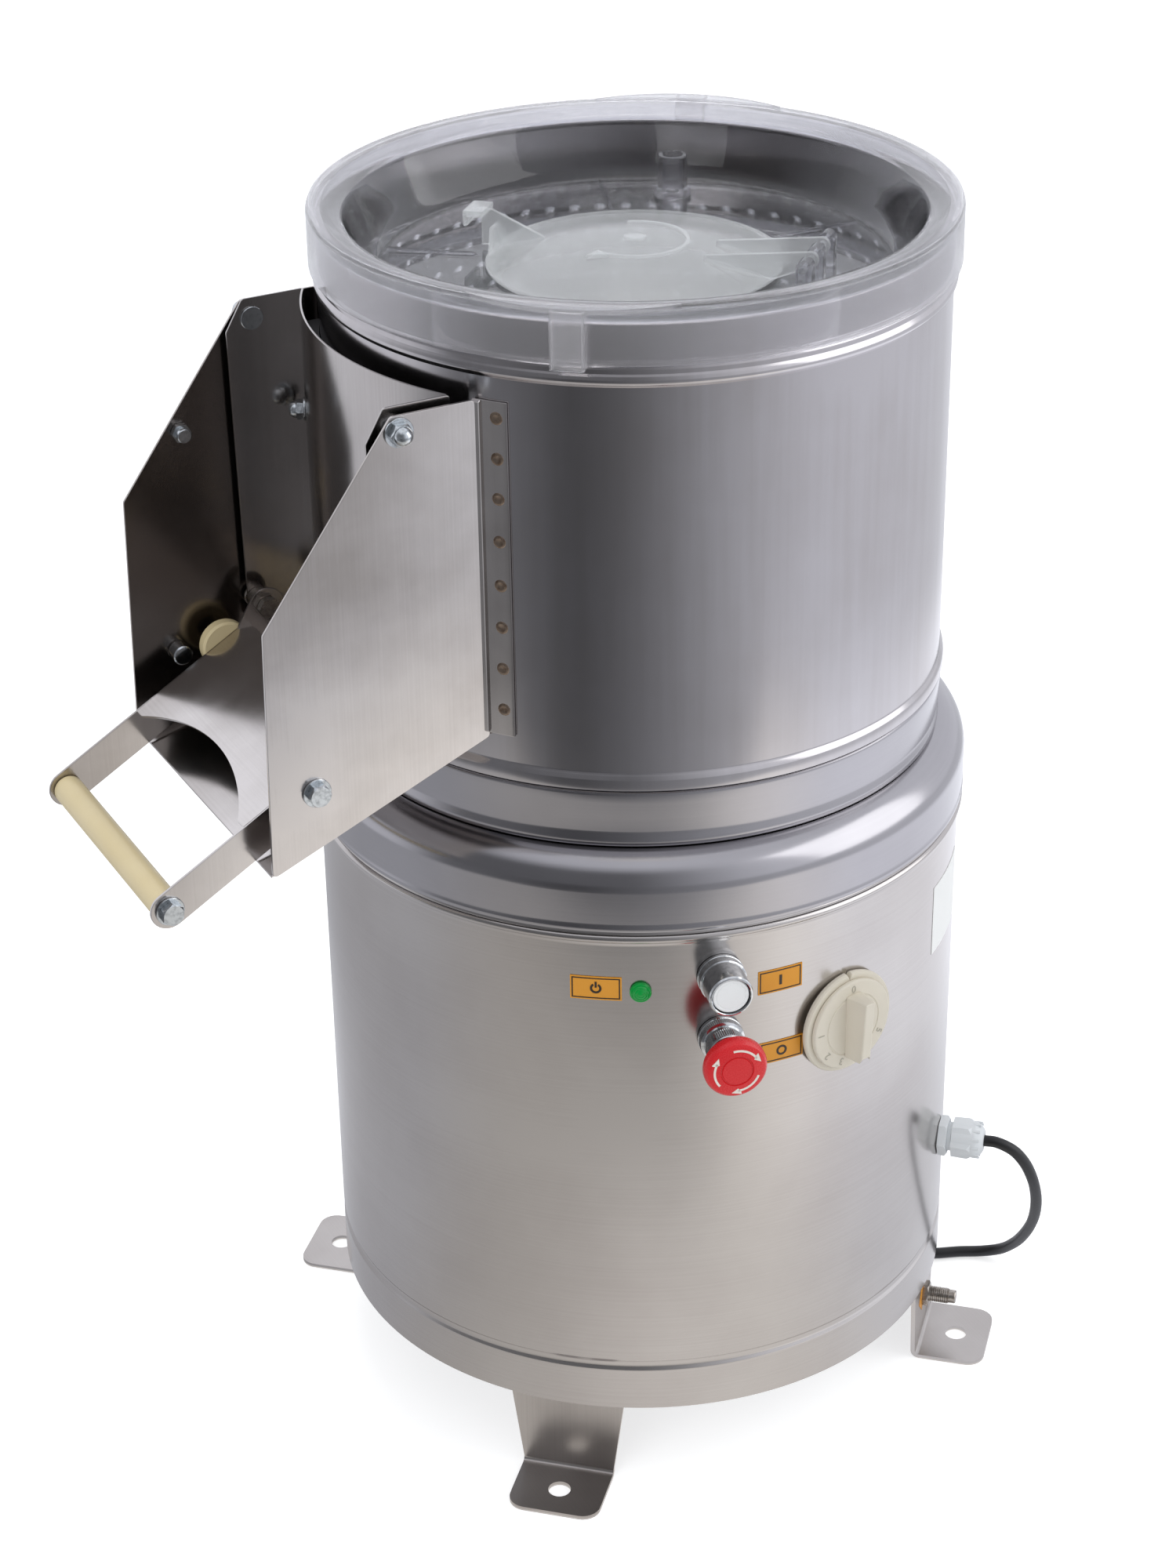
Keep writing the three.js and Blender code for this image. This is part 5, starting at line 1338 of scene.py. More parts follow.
@dataclass
class Chute:
    """Two side plates welded to the drum, the sloping floor and the fixed pins."""

    face: float = 111.4
    sheet: float = 2.0
    brow: Profile = ((165, 698), (217.8, 698), (303.5, 581), (307, 422.5), (161.8, 481.5))
    weld_levels: tuple[float, ...] = (688, 663, 638, 611, 583, 556, 529, 502)
    flange_levels: Pair = (484.5, 698.0)
    flange_turns: Pair = (34.0, 39.5)
    bend_turns: Pair = (33.1, 34.7)
    weld_turn: float = 37.6
    hinge: Pair = (213.5, 688.0)
    latch: Pair = (276.0, 473.2)
    stop: Pair = (263.6, 620.6)

    def build(self) -> None:
        """Builds the chute's fixed pieces."""
        for side in Side:
            self.side_plate(side)
            self.welds(side)
            self.hinge_pin(side)
            self.latch_pin(side)
        self.floor()
        self.stop_nut()

    def side_plate(self, side: Side) -> None:
        """Cuts one side plate and rolls its welded flange.

        Args:
            side: Which side of the chute.
        """
        outline = rounded_outline([(-reach, level) for reach, level in self.brow], 3.5)
        cheek = eased(upright("cheek", outline, self.sheet, side.rear_face(self.face, self.sheet)), 0.4)
        low, high = self.flange_levels
        wide = self.flange_turns[1] - self.flange_turns[0]
        section = [(195.3, low), (197.2, low), (197.2, high), (195.3, high)]
        flange = turned("flange", section, 10, wide, side.sweep_start(self.flange_turns))
        edge = [(196.4, low), (199.4, low + 1.5), (199.4, high - 1), (196.4, high)]
        bend = turned("bend", edge, 4, 1.6, side.sweep_start(self.bend_turns))
        whole = joined(f"chute_side_{side.label}_plate", [cheek, eased(flange, 0.5), eased(bend, 0.4, 1)])
        put(whole, "chute_plate_steel", "base", [f"chute_side_{side.label}"])
        # The faces that look into the chute take a darker copy of the steel: painted shade
        part_finished(whole, "painted_shade_chute_steel", lambda face: face.normal.y * side.value < -0.98)

    def welds(self, side: Side) -> None:
        """Presses a row of heat-tinted weld spots into the flange.

        Args:
            side: Which side of the chute.
        """
        crater = [(0, 0.15), (1.6, 0.1), (2.3, 0.45), (3.0, 0.5), (3.9, 0.12), (4.3, -0.3), (0, -0.3)]
        turn = -90 - side.value * self.weld_turn
        spots = [moved(turned("spot", crater, 20), outward(197.2, turn, z)) for z in self.weld_levels]
        put(joined(f"weld_spots_{side.label}", spots), "weld_spot_steel", "base")

    def hinge_pin(self, side: Side) -> None:
        """Makes the door's hinge bolt with its washer and cap nut outside.

        Args:
            side: Which side of the chute.
        """
        parts = [
            rod("shank", 4, 102, 115, 24),
            rod("flat_head", 7.5, 101.1, 102.2, 32, 0.3),
            rod("collar", 7, 104.3, 109.1, 32),
            *bolt_end(self.face, 7.3, 5.2, True),
        ]
        whole = joined(f"hinge_bolt_{side.label}", parts)
        place = along_y(side, *self.hinge)
        put(whole, "zinc_plated_bolt", "base", [f"door_hinge_pin_{side.label}"], place)

    def latch_pin(self, side: Side) -> None:
        """Makes the fixed stub that the tray's roller rests beside, with its bolt head outside.

        Args:
            side: Which side of the chute.
        """
        parts = [
            rod("stub", 6.5, 98.4, 109.1, 36, 0.8),
            rod("shank", 4, 108, 114, 24),
            *bolt_end(self.face, 7.4, 5.3),
        ]
        whole = joined(f"latch_stub_{side.label}", parts)
        place = along_y(side, *self.latch)
        put(whole, "zinc_plated_bolt", "base", [f"latch_pin_{side.label}"], place)

    def floor(self) -> None:
        """Cuts the sloping floor sheet to the drum's curve."""
        half = self.face - self.sheet - 0.3
        section = [(-161.8, 481.5), (-307, 422.5), (-307, 424), (-161.8, 483)]
        sheet = upright("chute_floor_sheet", section, half * 2, half)
        carved(sheet, rod("drum", 195.6, 400, 700, 160, 0.1))
        put(eased(sheet, 0.3, 2, 50), "chute_plate_steel", "base", ["chute_floor"])

    def stop_nut(self) -> None:
        """Dresses the door's stop stud on the far plate with a nut."""
        parts = [rod("stud", 4.6, 99.6, 109.2, 28), hex_head(6.4, 4.6, 104.4)]
        whole = joined("door_stop_nut", parts)
        put(whole, "zinc_plated_bolt", "base", place=along_y(Side.REAR, *self.stop))


# Door


@dataclass
class Door:
    """The curved door sheet with two flanges, hung on its top pins."""

    inner: float = 205.1
    sheet: float = 1.4
    flange: float = 104.0
    flange_sheet: float = 1.5
    low: float = 485.0
    high: float = 701.0
    bolt_offset: float = 87.0
    bolt_level: float = 628.0

    def build(self) -> None:
        """Builds the door, its bolt and the lever's pivots."""
        low, high, outer = self.low, self.high, self.inner + self.sheet
        half = math.degrees(math.asin(self.flange / outer))
        profile = [(self.inner, low), (outer, low), (outer, high), (self.inner, high)]
        parts = [eased(turned("skin", profile, 44, half * 2 - 0.8, -90 - half + 0.4), 0.35)]
        bend = 1.2 - math.sqrt(outer**2 - self.flange**2)
        outline = [(bend, low), (-228, low), (-230.8, 681), (-219, high), (bend, high)]
        for side in Side:
            back = side.rear_face(self.flange, self.flange_sheet)
            cheek = upright("flange", rounded_outline(outline, 3.0, 4), self.flange_sheet, back)
            parts.append(eased(cheek, 0.35))
        put(joined("door_sheet", parts), "door_sheet_steel", "door", ["door"])
        self.bolt()
        for side in Side:
            self.pivot(side)

    def bolt(self) -> None:
        """Puts the cap nut with its washer on the door near its far bend."""
        outer = self.inner + self.sheet
        turn = -90 - math.degrees(math.asin(self.bolt_offset / outer))
        nut = joined("door_nut", [washer(7.5, 1.2, 0), hex_head(6.6, 4.8, 1.2, True)])
        put(nut, "zinc_plated_bolt", "door", place=outward(outer + 0.1, turn, self.bolt_level))

    def pivot(self, side: Side) -> None:
        """Makes the bolt on which the lever's arm turns.

        Args:
            side: Which side of the chute.
        """
        parts = [
            hex_head(7.3, 5.3, 80.8),
            rod("shank", 4, 84, 106, 24),
            rod("collar", 7, 88.9, 102.1, 32),
            rod("head", 7.5, 104.3, 106.6, 32, 0.6),
        ]
        whole = joined(f"pivot_bolt_{side.label}", parts)
        place = along_y(side, *LEVER_PIVOT)
        put(whole, "worn_pin_steel", "door", [f"lever_pivot_{side.label}"], place)


# Lever


@dataclass
class Lever:
    """The tray with its curved notch, two arms, the hand grip, its bolt and the rollers."""

    face: float = 88.5
    sheet: float = 2.0
    depth: float = 24.0
    length: float = 170.7
    slope: float = 29.6
    arm_end: float = 12.0
    notch_radius: float = 150.0
    notch_half: float = 79.0
    notch_reach: float = 83.8
    roller_at: Pair = (-35.6, -6.0)

    def place(self) -> Matrix:
        """Gives the tray's placement: its pivot is the origin and -X runs down the tray."""
        reach, level = LEVER_PIVOT
        return shift(-reach, 0, level) @ swing(-self.slope, "Y")

    def grip_place(self) -> Matrix:
        """Gives the hand grip's placement, its +Z towards the front."""
        return self.place() @ shift(-self.length, 0, -self.arm_end) @ swing(90, "X")

    def build(self) -> None:
        """Builds the lever's pieces."""
        self.tray()
        self.grip()
        self.bolt()
        for side in Side:
            self.roller(side)

    def tray(self) -> None:
        """Cuts the web with its notch and the two arms."""
        half, radius = self.face - 0.3, self.notch_radius
        widest = math.asin(self.notch_half / radius)
        notch = [
            (-self.notch_reach - radius + radius * math.cos(a), radius * math.sin(a))
            for a in steps_between(widest, -widest, 28)
        ]
        web = [(-15.2, -half), (-15.2, half), (-106.3, half), *notch, (-106.3, -half)]
        parts = [eased(moved(plate("web", web, self.sheet), shift(0, 0, -self.sheet)), 0.4)]
        ear = arc_points((0, 0), self.arm_end, -118, 110, 16)
        end = arc_points((-self.length, -self.arm_end), self.arm_end, 90, 270, 14)
        arm = [*ear, (-24, 0), *end, (-16, -self.depth)]
        for side in Side:
            cheek = upright("arm", arm, self.sheet, side.rear_face(self.face, self.sheet))
            parts.append(eased(cheek, 0.4))
        whole = joined("lever_tray_bent", parts)
        put(whole, "chute_plate_steel", "lever", ["lever_tray"], self.place())

    def grip(self) -> None:
        """Turns the cream hand grip."""
        half = self.face - self.sheet - 0.4
        profile = [(4.4, -half), (8.6, -half), (9.5, 1 - half), (9.5, half - 1), (8.6, half), (4.4, half)]
        sleeve = eased(turned("hand_grip_tube", profile, 48), 0.5, 2, 30)
        put(sleeve, "cream_polyamide", "handle_grip", ["handle_grip"], self.grip_place())

    def bolt(self) -> None:
        """Makes the grip's bolt with a head and a nut outside the arms."""
        reach = self.face + 2.3
        parts = [rod("shank", 4, -reach, reach, 24)]
        for side in Side:
            head = joined("end", bolt_end(self.face, 7.4, 5.3))
            parts.append(moved(head, swing(0 if side is Side.REAR else 180, "X")))
        put(joined("grip_bolt", parts), "zinc_plated_bolt", "lever", ["handle_bolt"], self.grip_place())

    def roller(self, side: Side) -> None:
        """Turns one cream roller with its stud.

        Args:
            side: Which side of the chute.
        """
        inner = self.face + 0.3
        profile = [
            (3.3, inner), (14.6, inner), (16, inner + 1.4), (16, inner + 7.1), (14.6, inner + 8.5),
            (8.4, inner + 8.5), (7.6, inner + 7.4), (6.6, inner + 7.4), (6.3, inner + 5.5),
            (3.3, inner + 5.5),
        ]
        name = f"roller_{side.label}"
        along, level = self.roller_at
        place = self.place() @ shift(along, 0, level) @ swing(-90 * side.value, "X")
        put(turned(f"{name}_wheel", profile, 48), "cream_polyamide", name, [name], place)
        head = [(5.8, inner + 5.8), (5.8, inner + 7.6), (4.8, inner + 8.2), (0, inner + 8.2)]
        stud = turned(f"{name}_stud", [(0, 85), (2.9, 85), (2.9, inner + 5.8), *head], 28)
        put(stud, "zinc_plated_bolt", "lever", place=place)


# Lid


@dataclass
class Lid:
    """The clear lid with its skirt, well, grip tabs, water nozzle, hinge posts and fine ribs."""

    floor: float = 718.0
    rim: float = 762.0
    ground_from: Pair = (178.0, 199.5)
    tab_turns: Pair = (-39.2, 140.8)
    nozzle_at: Pair = (134.0, 141.0)
    rib_count: int = 5
    first_rib: float = 16.0
    posts_at: Triple = (-27.0, 0.0, 27.0)

    def build(self) -> None:
        """Builds the lid and the hatch pin."""
        parts = [self.bowl(), self.nozzle(), *self.tabs(), *self.ribs(), *self.posts()]
        whole = joined("lid_moulding", parts)
        put(whole, "clear_lid_plastic", "lid", ["lid_shell"])
        part_finished(whole, "ground_rim_plastic", self.is_ground)
        whole.visible_shadow = False
        pin = moved(rod("hatch_hinge_pin", 2.2, -36, 36, 20), swing(90, "Y"))
        place = swing(HATCH_TURN, "Z") @ shift(0, -HINGE[0], HINGE[1])
        put(pin, "clear_lid_plastic", "lid", ["hatch_pin"], place)

    def is_ground(self, face: Face) -> bool:
        """Tells whether a placed face lies on the rim's top or on the skirt's outer side.

        Args:
            face: A face of the placed lid.

        Returns:
            True for a face with a milky veil.
        """
        centre = TO_FRAME.inverted() @ face.center
        rim_from, skirt_from = self.ground_from
        on_top = centre.xy.length > rim_from and centre.z > self.rim - 7 and face.normal.z > 0.2
        return on_top or (centre.xy.length > skirt_from and abs(face.normal.z) < 0.3)

    def bowl(self) -> Object:
        """Turns the skirt, the rim and the well in one wall.

        Returns:
            The wall.
        """
        floor, rim = self.floor, self.rim
        profile = [
            (197.3, rim - 36.6), (199.6, rim - 36.6), (200, rim - 36), (200, rim - 3), (199.2, rim - 0.8),
            (197.2, rim), (190, rim - 0.9), (183, rim - 3.2), (179.4, rim - 5.4), (178, rim - 7.4),
            (176.2, rim - 11), (171, floor + 20), (166.6, floor + 10), (164.2, floor + 5), (160.4, floor + 1),
            (157, floor), (87, floor), (86, floor - 1), (86, floor - 2.4), (87, floor - 2.8),
            (158, floor - 2.8), (163, floor - 1.2), (167.2, floor + 3.6), (169.8, floor + 9),
            (174.2, floor + 19), (179.2, rim - 11.4), (181.6, rim - 8.6), (185, rim - 6.4),
            (191.6, rim - 4.2), (191.6, rim - 11.7), (195, rim - 11.7), (195, rim - 4.2), (197.2, rim - 4.4),
        ]
        return turned("bowl", profile, 160)

    def tabs(self) -> list[Object]:
        """Makes the two grip tabs with their hollow ribs.

        Returns:
            The tabs.
        """
        made = []
        middle = self.rim - 19.5
        edge = [(106 * math.sin(a), -102.3 - 106 * math.cos(a)) for a in steps_between(-0.62, 0.62, 24)]
        for turn in self.tab_turns:
            ledge = plate("ledge", [*edge, (60, -186), (-60, -186)], 3)
            moved(ledge, shift(0, 0, self.rim - 3.05))
            carved(ledge, rod("inside", 197.6, 700, 800, 160, 0.1))
            walls = [block("web", (1.8, 9, 35), (x, -203.4, middle)) for x in (-9.2, 9.2)]
            walls.append(block("face", (18, 1.8, 35), (0, -207.2, middle)))
            tab = joined("tab", [eased(part, 0.5) for part in (ledge, *walls)])
            made.append(moved(tab, swing(turn, "Z")))
        return made

    def nozzle(self) -> Object:
        """Turns the water nozzle with its collar.

        Returns:
            The nozzle.
        """
        low = self.floor
        profile = [
            (6.7, low - 2.8), (12, low - 1.4), (12, low + 4.4), (11.2, low + 5), (9.7, low + 5.6),
            (9.5, low + 7), (9.5, low + 25.2), (8.9, low + 26), (6.7, low + 26),
        ]
        return moved(turned("nozzle", profile, 48), Matrix.Translation(polar(*self.nozzle_at)))

    def ribs(self) -> list[Object]:
        """Makes the fine ribs on the well's floor.

        Returns:
            The ribs.
        """
        made = []
        for index in range(self.rib_count):
            rib = block("rib", (1.6, 60, 3.2), (0, -126, self.floor + 0.6))
            pulled(rib, lambda co: co.y > -100 and co.z > self.floor, (0, -6, -0.8))
            place = swing(self.first_rib + 360 / self.rib_count * index, "Z")
            made.append(moved(eased(rib, 0.4, 1, 35), place))
        return made

    def posts(self) -> list[Object]:
        """Makes the three hinge posts with their eyes.

        Returns:
            The posts.
        """
        reach, level = HINGE
        foot = level - 17.7
        outline = [(-5, foot), (-5, level), *arc_points((0, level), 5, 180, 0, 8), (5, foot)]
        posts = [radial_fin("post", outline, 9, offset, -reach) for offset in self.posts_at]
        return [moved(post, swing(HATCH_TURN, "Z")) for post in posts]


@dataclass
class Hatch:
    """The milky dome with two hinge fins, a latch fin with its thumb bar and a raised arrow."""

    low: float = 718.3
    dome_radius: float = 87.0
    dome_rise: float = 13.0
    wall: float = 2.3
    fins_at: Pair = (-14.0, 14.0)

    def build(self) -> None:
        """Builds the hatch."""
        parts = [self.dome(), *self.fins(), *self.latch(), *self.marks()]
        whole = joined("hatch_moulding", parts)
        put(whole, "milky_hatch_plastic", "hatch", ["hatch"], swing(HATCH_TURN, "Z"))
        whole.visible_shadow = False

    def dome_level(self, radius: float) -> float:
        """Gives the dome's upper surface height at a radius."""
        sphere = (self.dome_radius**2 + self.dome_rise**2) / (2 * self.dome_rise)
        return self.low + 2.4 + self.dome_rise - sphere + math.sqrt(sphere**2 - radius**2)

    def dome(self) -> Object:
        """Turns the shallow dome with its flat rim.

        Returns:
            The dome.
        """
        low = self.low
        radii = steps_between(0, 86.6, 18)
        upper = [(radius, self.dome_level(radius)) for radius in reversed(radii)]
        under = [(radius * 0.97, self.dome_level(radius) - self.wall) for radius in radii if radius < 83]
        rim = [(85, low), (91.4, low), (92, low + 0.7), (92, low + 1.8), (91.2, low + 2.4)]
        return turned("dome", [*under, *rim, *upper], 120)

    def fins(self) -> list[Object]:
        """Makes the two hinge fins with their eyes.

        Returns:
            The fins.
        """
        reach, level = HINGE
        low = self.low
        eye = arc_points((-reach, level), 5, 250, 95, 8)
        outline = [(-48, low + 2.6), (-92, low + 2.2), (-108, 727), *eye, (-48, low + 13)]
        return [radial_fin("hinge_fin", outline, 3.8, offset) for offset in self.fins_at]

    def latch(self) -> list[Object]:
        """Makes the latch fin, its thumb bar and two side gussets.

        Returns:
            The latch's parts.
        """
        low, top = self.low, self.low + 26
        outline = [(58, low + 2.6), (99, low + 2), (99, top - 1), (92, top - 1), (58, low + 10)]
        blade = radial_fin("latch_fin", outline, 3.4, 0)
        bar = block("thumb_bar", (22, 13, 3.8), (0, 101.5, top - 1.9))
        lip = block("lip", (22, 3, 9), (0, 106.4, top - 5.2))
        gusset = block("gusset", (36, 3, 14), (0, 88, low + 8))
        pulled(gusset, lambda co: co.z > low + 10, (0, 3, 0))
        for way in (-1, 1):
            pulled(gusset, lambda co, s=way: co.z > low + 10 and co.x * s > 0, (-12 * way, 0, 0))
        return [blade, *[eased(part, 0.8) for part in (bar, lip, gusset)]]

    def marks(self) -> list[Object]:
        """Raises a turning arrow and a small centre button on the dome.

        Returns:
            The raised parts.
        """
        band = [*arc_points((0, 0), 34, 150, 385, 34), *arc_points((0, 0), 31, 385, 150, 34)]
        shapes = [plate("arrow", band, 2.2), plate("head", [(-26, 15), (-38, 20), (-33.5, 6)], 2.2)]
        sunk = shift(0, 0, self.dome_level(32) - 1.1)
        made = [eased(moved(part, sunk), 0.4, 1) for part in shapes]
        top = self.dome_level(0)
        crown = [(7.2, top + 0.8), (6, top + 1.2), (5, top + 0.5), (0, top + 0.5)]
        return [*made, turned("button", [(0, top - 1), (7.5, top - 1), *crown], 36)]


# Controls


class Mark(Enum):
    """The plain mark that is printed on a name plate."""

    LAMP = "lamp"
    BAR = "bar"
    RING = "ring"


@dataclass
class Controls:
    """The pilot lamp, the push buttons, the timer and the plates on the front of the base."""

    shell: float = 211.0
    foil: Pair = (0.02, 0.45)
    ink: Pair = (0.4, 0.56)
    paper: Pair = (0.02, 0.25)
    lamp_at: Pair = (-28.4, 323.0)
    start_at: Pair = (-15.0, 331.0)
    stop_at: Pair = (-15.0, 287.0)
    timer_at: Pair = (9.0, 275.0)
    tooth: float = 0.45
    figure_turns: tuple[float, ...] = (0, 88, 128, 160, 200, 240)
    figure_size: float = 7.0
    figure_reach: float = 25.6

    def build(self) -> None:
        """Builds the controls from left to right."""
        self.name_plate("pilot_plate", -35.9, 324.6, 8.7, 16.5, Mark.LAMP)
        self.name_plate("start_plate", -4.2, 319.8, 8.2, 16.5, Mark.BAR)
        self.name_plate("stop_plate", -3.8, 267.8, 8.2, 15.5, Mark.RING)
        self.pilot_lamp()
        self.start_button()
        self.stop_button()
        self.timer()
        put(self.band("paper_label", 43.5, 301, 16, 50, self.paper), "paper_label", "base")

    def band(self, name: str, turn: float, level: float, span: float, height: float, faces: Pair) -> Object:
        """Rolls a thin band that follows the shell.

        Args:
            name: Name of the new object.
            turn: Degrees from the front of its middle.
            level: Height of its middle.
            span: Degrees that it covers.
            height: Its height.
            faces: How far its inner and outer faces stand off the shell.

        Returns:
            The band.
        """
        inner, outer = (self.shell + face for face in faces)
        low, high = level - height / 2, level + height / 2
        section = [(inner, low), (outer, low), (outer, high), (inner, high)]
        return turned(name, section, 8, span, turn - span / 2)

    def name_plate(
        self, name: str, turn: float, level: float, span: float, height: float, mark: Mark
    ) -> None:
        """Sticks an amber plate on the shell, with a dark border and one plain mark.

        Args:
            name: Name of the plate.
            turn: Degrees from the front of its middle.
            level: Height of its middle.
            span: Degrees that it covers.
            height: Its height.
            mark: What is printed on it.
        """
        put(self.band(name, turn, level, span, height, self.foil), "amber_plate", "base")
        wide, tall, line, narrow = span - 0.75, height - 2.6, 0.8, 0.22
        edges = (
            (turn, level + tall / 2, wide, line),
            (turn, level - tall / 2, wide, line),
            (turn - wide / 2, level, narrow, tall + line),
            (turn + wide / 2, level, narrow, tall + line),
        )
        parts = [self.band("edge", *edge, self.ink) for edge in edges]
        place = outward(self.shell + 0.4, turn, level)
        if mark is Mark.BAR:
            parts.append(moved(block("mark", (1.8, 7.0, 0.3), (0, 0, 0.1)), place))
        else:
            gap = 60 if mark is Mark.LAMP else 0.01
            section = [(2.2, 0), (3.6, 0), (3.6, 0.25), (2.2, 0.25)]
            parts.append(moved(turned("mark", section, 32, 360 - gap, 180 + gap / 2), place))
        if mark is Mark.LAMP:
            parts.append(moved(block("mark", (1.3, 4.2, 0.3), (0, 2.6, 0.1)), place))
        put(joined(f"{name}_print", parts), "dark_print", "base")

    def pilot_lamp(self) -> None:
        """Turns the green lens with its stepped facets."""
        profile = [
            (0, -22), (5, -22), (5.0, 0.3), (6.8, 0.3), (6.8, 1.8), (6.4, 2.5), (5.7, 2.8), (5.3, 2.6),
            (5.0, 3.2), (4.2, 3.7), (3.7, 3.5), (3.3, 3.9), (2.4, 4.2), (2.0, 4.0), (1.6, 4.3), (0, 4.5),
        ]
        lens = turned("pilot_lens", profile, 40)
        put(lens, "green_lens", "base", ["pilot_lamp"], outward(self.shell, *self.lamp_at))

    def knurl(self, radius: float, low: float, high: float, teeth: int = 72) -> Object:
        """Makes a knurled band of fine teeth round Z.

        Args:
            radius: Radius at the foot of the teeth.
            low: Height of its lower end.
            high: Height of its upper end.
            teeth: How many teeth it has.

        Returns:
            The band.
        """
        outline = []
        for index in range(teeth * 2):
            angle = math.pi * index / teeth
            reach = radius + (self.tooth if index % 2 else 0.0)
            outline.append((reach * math.cos(angle), reach * math.sin(angle)))
        return moved(plate("knurl", outline, high - low), shift(0, 0, low))

    def start_button(self) -> None:
        """Turns the chrome bezel and the white push cap."""
        place = outward(self.shell, *self.start_at)
        barrel = [
            (4.4, -30), (11, -30), (11, 0.3), (15, 0.3), (15, 2.2), (14.6, 2.6), (14.6, 6.8), (14.9, 7.2),
            (14.9, 8.2), (14.2, 8.8), (14, 9.4), (14, 25.6), (13.4, 26.8), (12.6, 27), (12.1, 26.6),
            (12.1, 8.2), (4.4, 8.2),
        ]
        bezel = joined("start_bezel_turned", [turned("barrel", barrel, 64), self.knurl(14.2, 2.8, 6.6)])
        put(bezel, "chrome_plated_brass", "base", ["start_bezel"], place, 26)
        profile = [
            (0, -30), (4, -30), (4, 12.2), (11.4, 12.2), (11.4, 25.4), (10.9, 26), (9.7, 26), (9.4, 25.7),
            (9.1, 25.7), (8.8, 26), (0, 26.1),
        ]
        cap = turned("start_push_cap", profile, 56)
        put(cap, "white_push_cap", "start_button", ["start_button"], place, 20)

    def stop_button(self) -> None:
        """Turns the collar, the stem and the red mushroom head with three white arrows."""
        place = outward(self.shell, *self.stop_at)
        collar = [
            (5.4, -30), (11, -30), (11, 0.3), (14.5, 0.3), (14.5, 2.4), (14.1, 2.8), (14.1, 8), (12.6, 8.6),
            (12.4, 9.2), (12.4, 20.4), (11.8, 21), (5.4, 21),
        ]
        knurls = [self.knurl(13.9, 3.0, 7.6), self.knurl(12.3, 12.5, 19.5, 60)]
        ring = joined("stop_collar_turned", [turned("collar", collar, 64), *knurls])
        put(ring, "chrome_plated_brass", "base", ["stop_collar"], place, 26)
        put(rod("stop_stem_rod", 5, -30, 31.8, 24), "zinc_plated_bolt", "stop_stem", ["stop_stem"], place)
        head = [
            (5.3, 28), (12.4, 28), (13.2, 28.6), (16.8, 30.4), (19.4, 32.4), (20, 34), (20, 37.4), (19.5, 39),
            (18.2, 40.6), (16.4, 41.4), (10.6, 42), (10.2, 41.3), (9.6, 41.3), (9.2, 42.05), (0, 42.3),
            (0, 32.2), (5.3, 32.2),
        ]
        put(turned("stop_mushroom", head, 72), "red_stop_abs", "stop_head", ["stop_head"], place, 24)
        arrows = []
        arc = [*arc_points((0, 0), 15.0, 100, 32, 14), *arc_points((0, 0), 13.6, 32, 100, 14)]
        for turn in (0, 120, 240):
            tip = plate("tip", [(12.9, 8.6), (11.2, 5.7), (15.5, 3.2), (14.2, 9.4)], 0.9)
            parts = [plate("band", arc, 0.9), moved(tip, swing(6, "Z"))]
            arrows += [moved(part, swing(turn, "Z")) for part in parts]
        put(joined("stop_arrows", arrows), "white_print", "stop_head", place=place @ shift(0, 0, 40.95))

    def timer(self) -> None:
        """Builds the timer's plate, its dial with plain figures and its wing grip."""
        place = outward(self.shell, *self.timer_at)
        profile = [
            (3.3, 0.3), (33.6, 0.3), (34.6, 0.9), (35, 1.8), (35, 3.4), (34.3, 4.6), (32.8, 5), (3.3, 5),
        ]
        rim = turned("timer_plate", profile, 96)
        carved(rim, moved(plate("notch", [(-4.2, 40), (0, 30.5), (4.2, 40)], 12), shift(0, 0, -1)))
        put(rim, "light_grey_abs", "base", ["switch_plate"], place, 30)
        body = eased(block("timer_housing", (44, 44, 42), (0, 0, -24.9)), 1.5, 3, 35)
        put(body, "painted_casting", "base", ["switch_body"], place)
        dial = [
            (0, -3.6), (3, -3.6), (3, 5.3), (30.4, 5.3), (31, 5.9), (31, 7.4), (30.4, 8.4), (29.6, 8.8),
            (21.6, 8.8), (21.2, 8.4), (20.6, 8.4), (20.2, 8.9), (0, 9.0),
        ]
        disc = turned("dial", dial, 96)
        wing = upright("wing", [(-6.2, 8.6), (6.2, 8.6), (3.6, 25), (-3.6, 25)], 46, 23)
        carved(wing, rod("round", 22.8, 0, 30, 64, 0.1), "INTERSECT")
        pulled(wing, lambda co: co.y < -12 and co.z > 20, (0, 4, -2.5))
        knob = joined("timer_knob", [disc, eased(wing, 1.1, 3, 35)])
        put(knob, "light_grey_abs", "switch_knob", ["switch_knob"], place, 30)
        self.figures(place)

    def figures(self, place: Matrix) -> None:
        """Raises the plain figures 0 to 5 round the dial.

        Args:
            place: The timer's placement.
        """
        made = []
        for number, turn in enumerate(self.figure_turns):
            clear()
            bpy.ops.object.text_add()
            text = bpy.context.object.data
            text.body = str(number)
            text.size = self.figure_size
            text.extrude = 0.25
            text.align_x = "CENTER"
            text.align_y = "CENTER"
            bpy.ops.object.convert(target="MESH")
            figure = moved(bpy.context.object, shift(0, self.figure_reach, 8.8))
            made.append(moved(figure, swing(turn, "Z")))
        put(joined("dial_figures", made), "engraved_shadow", "switch_knob", place=place)


# Studio


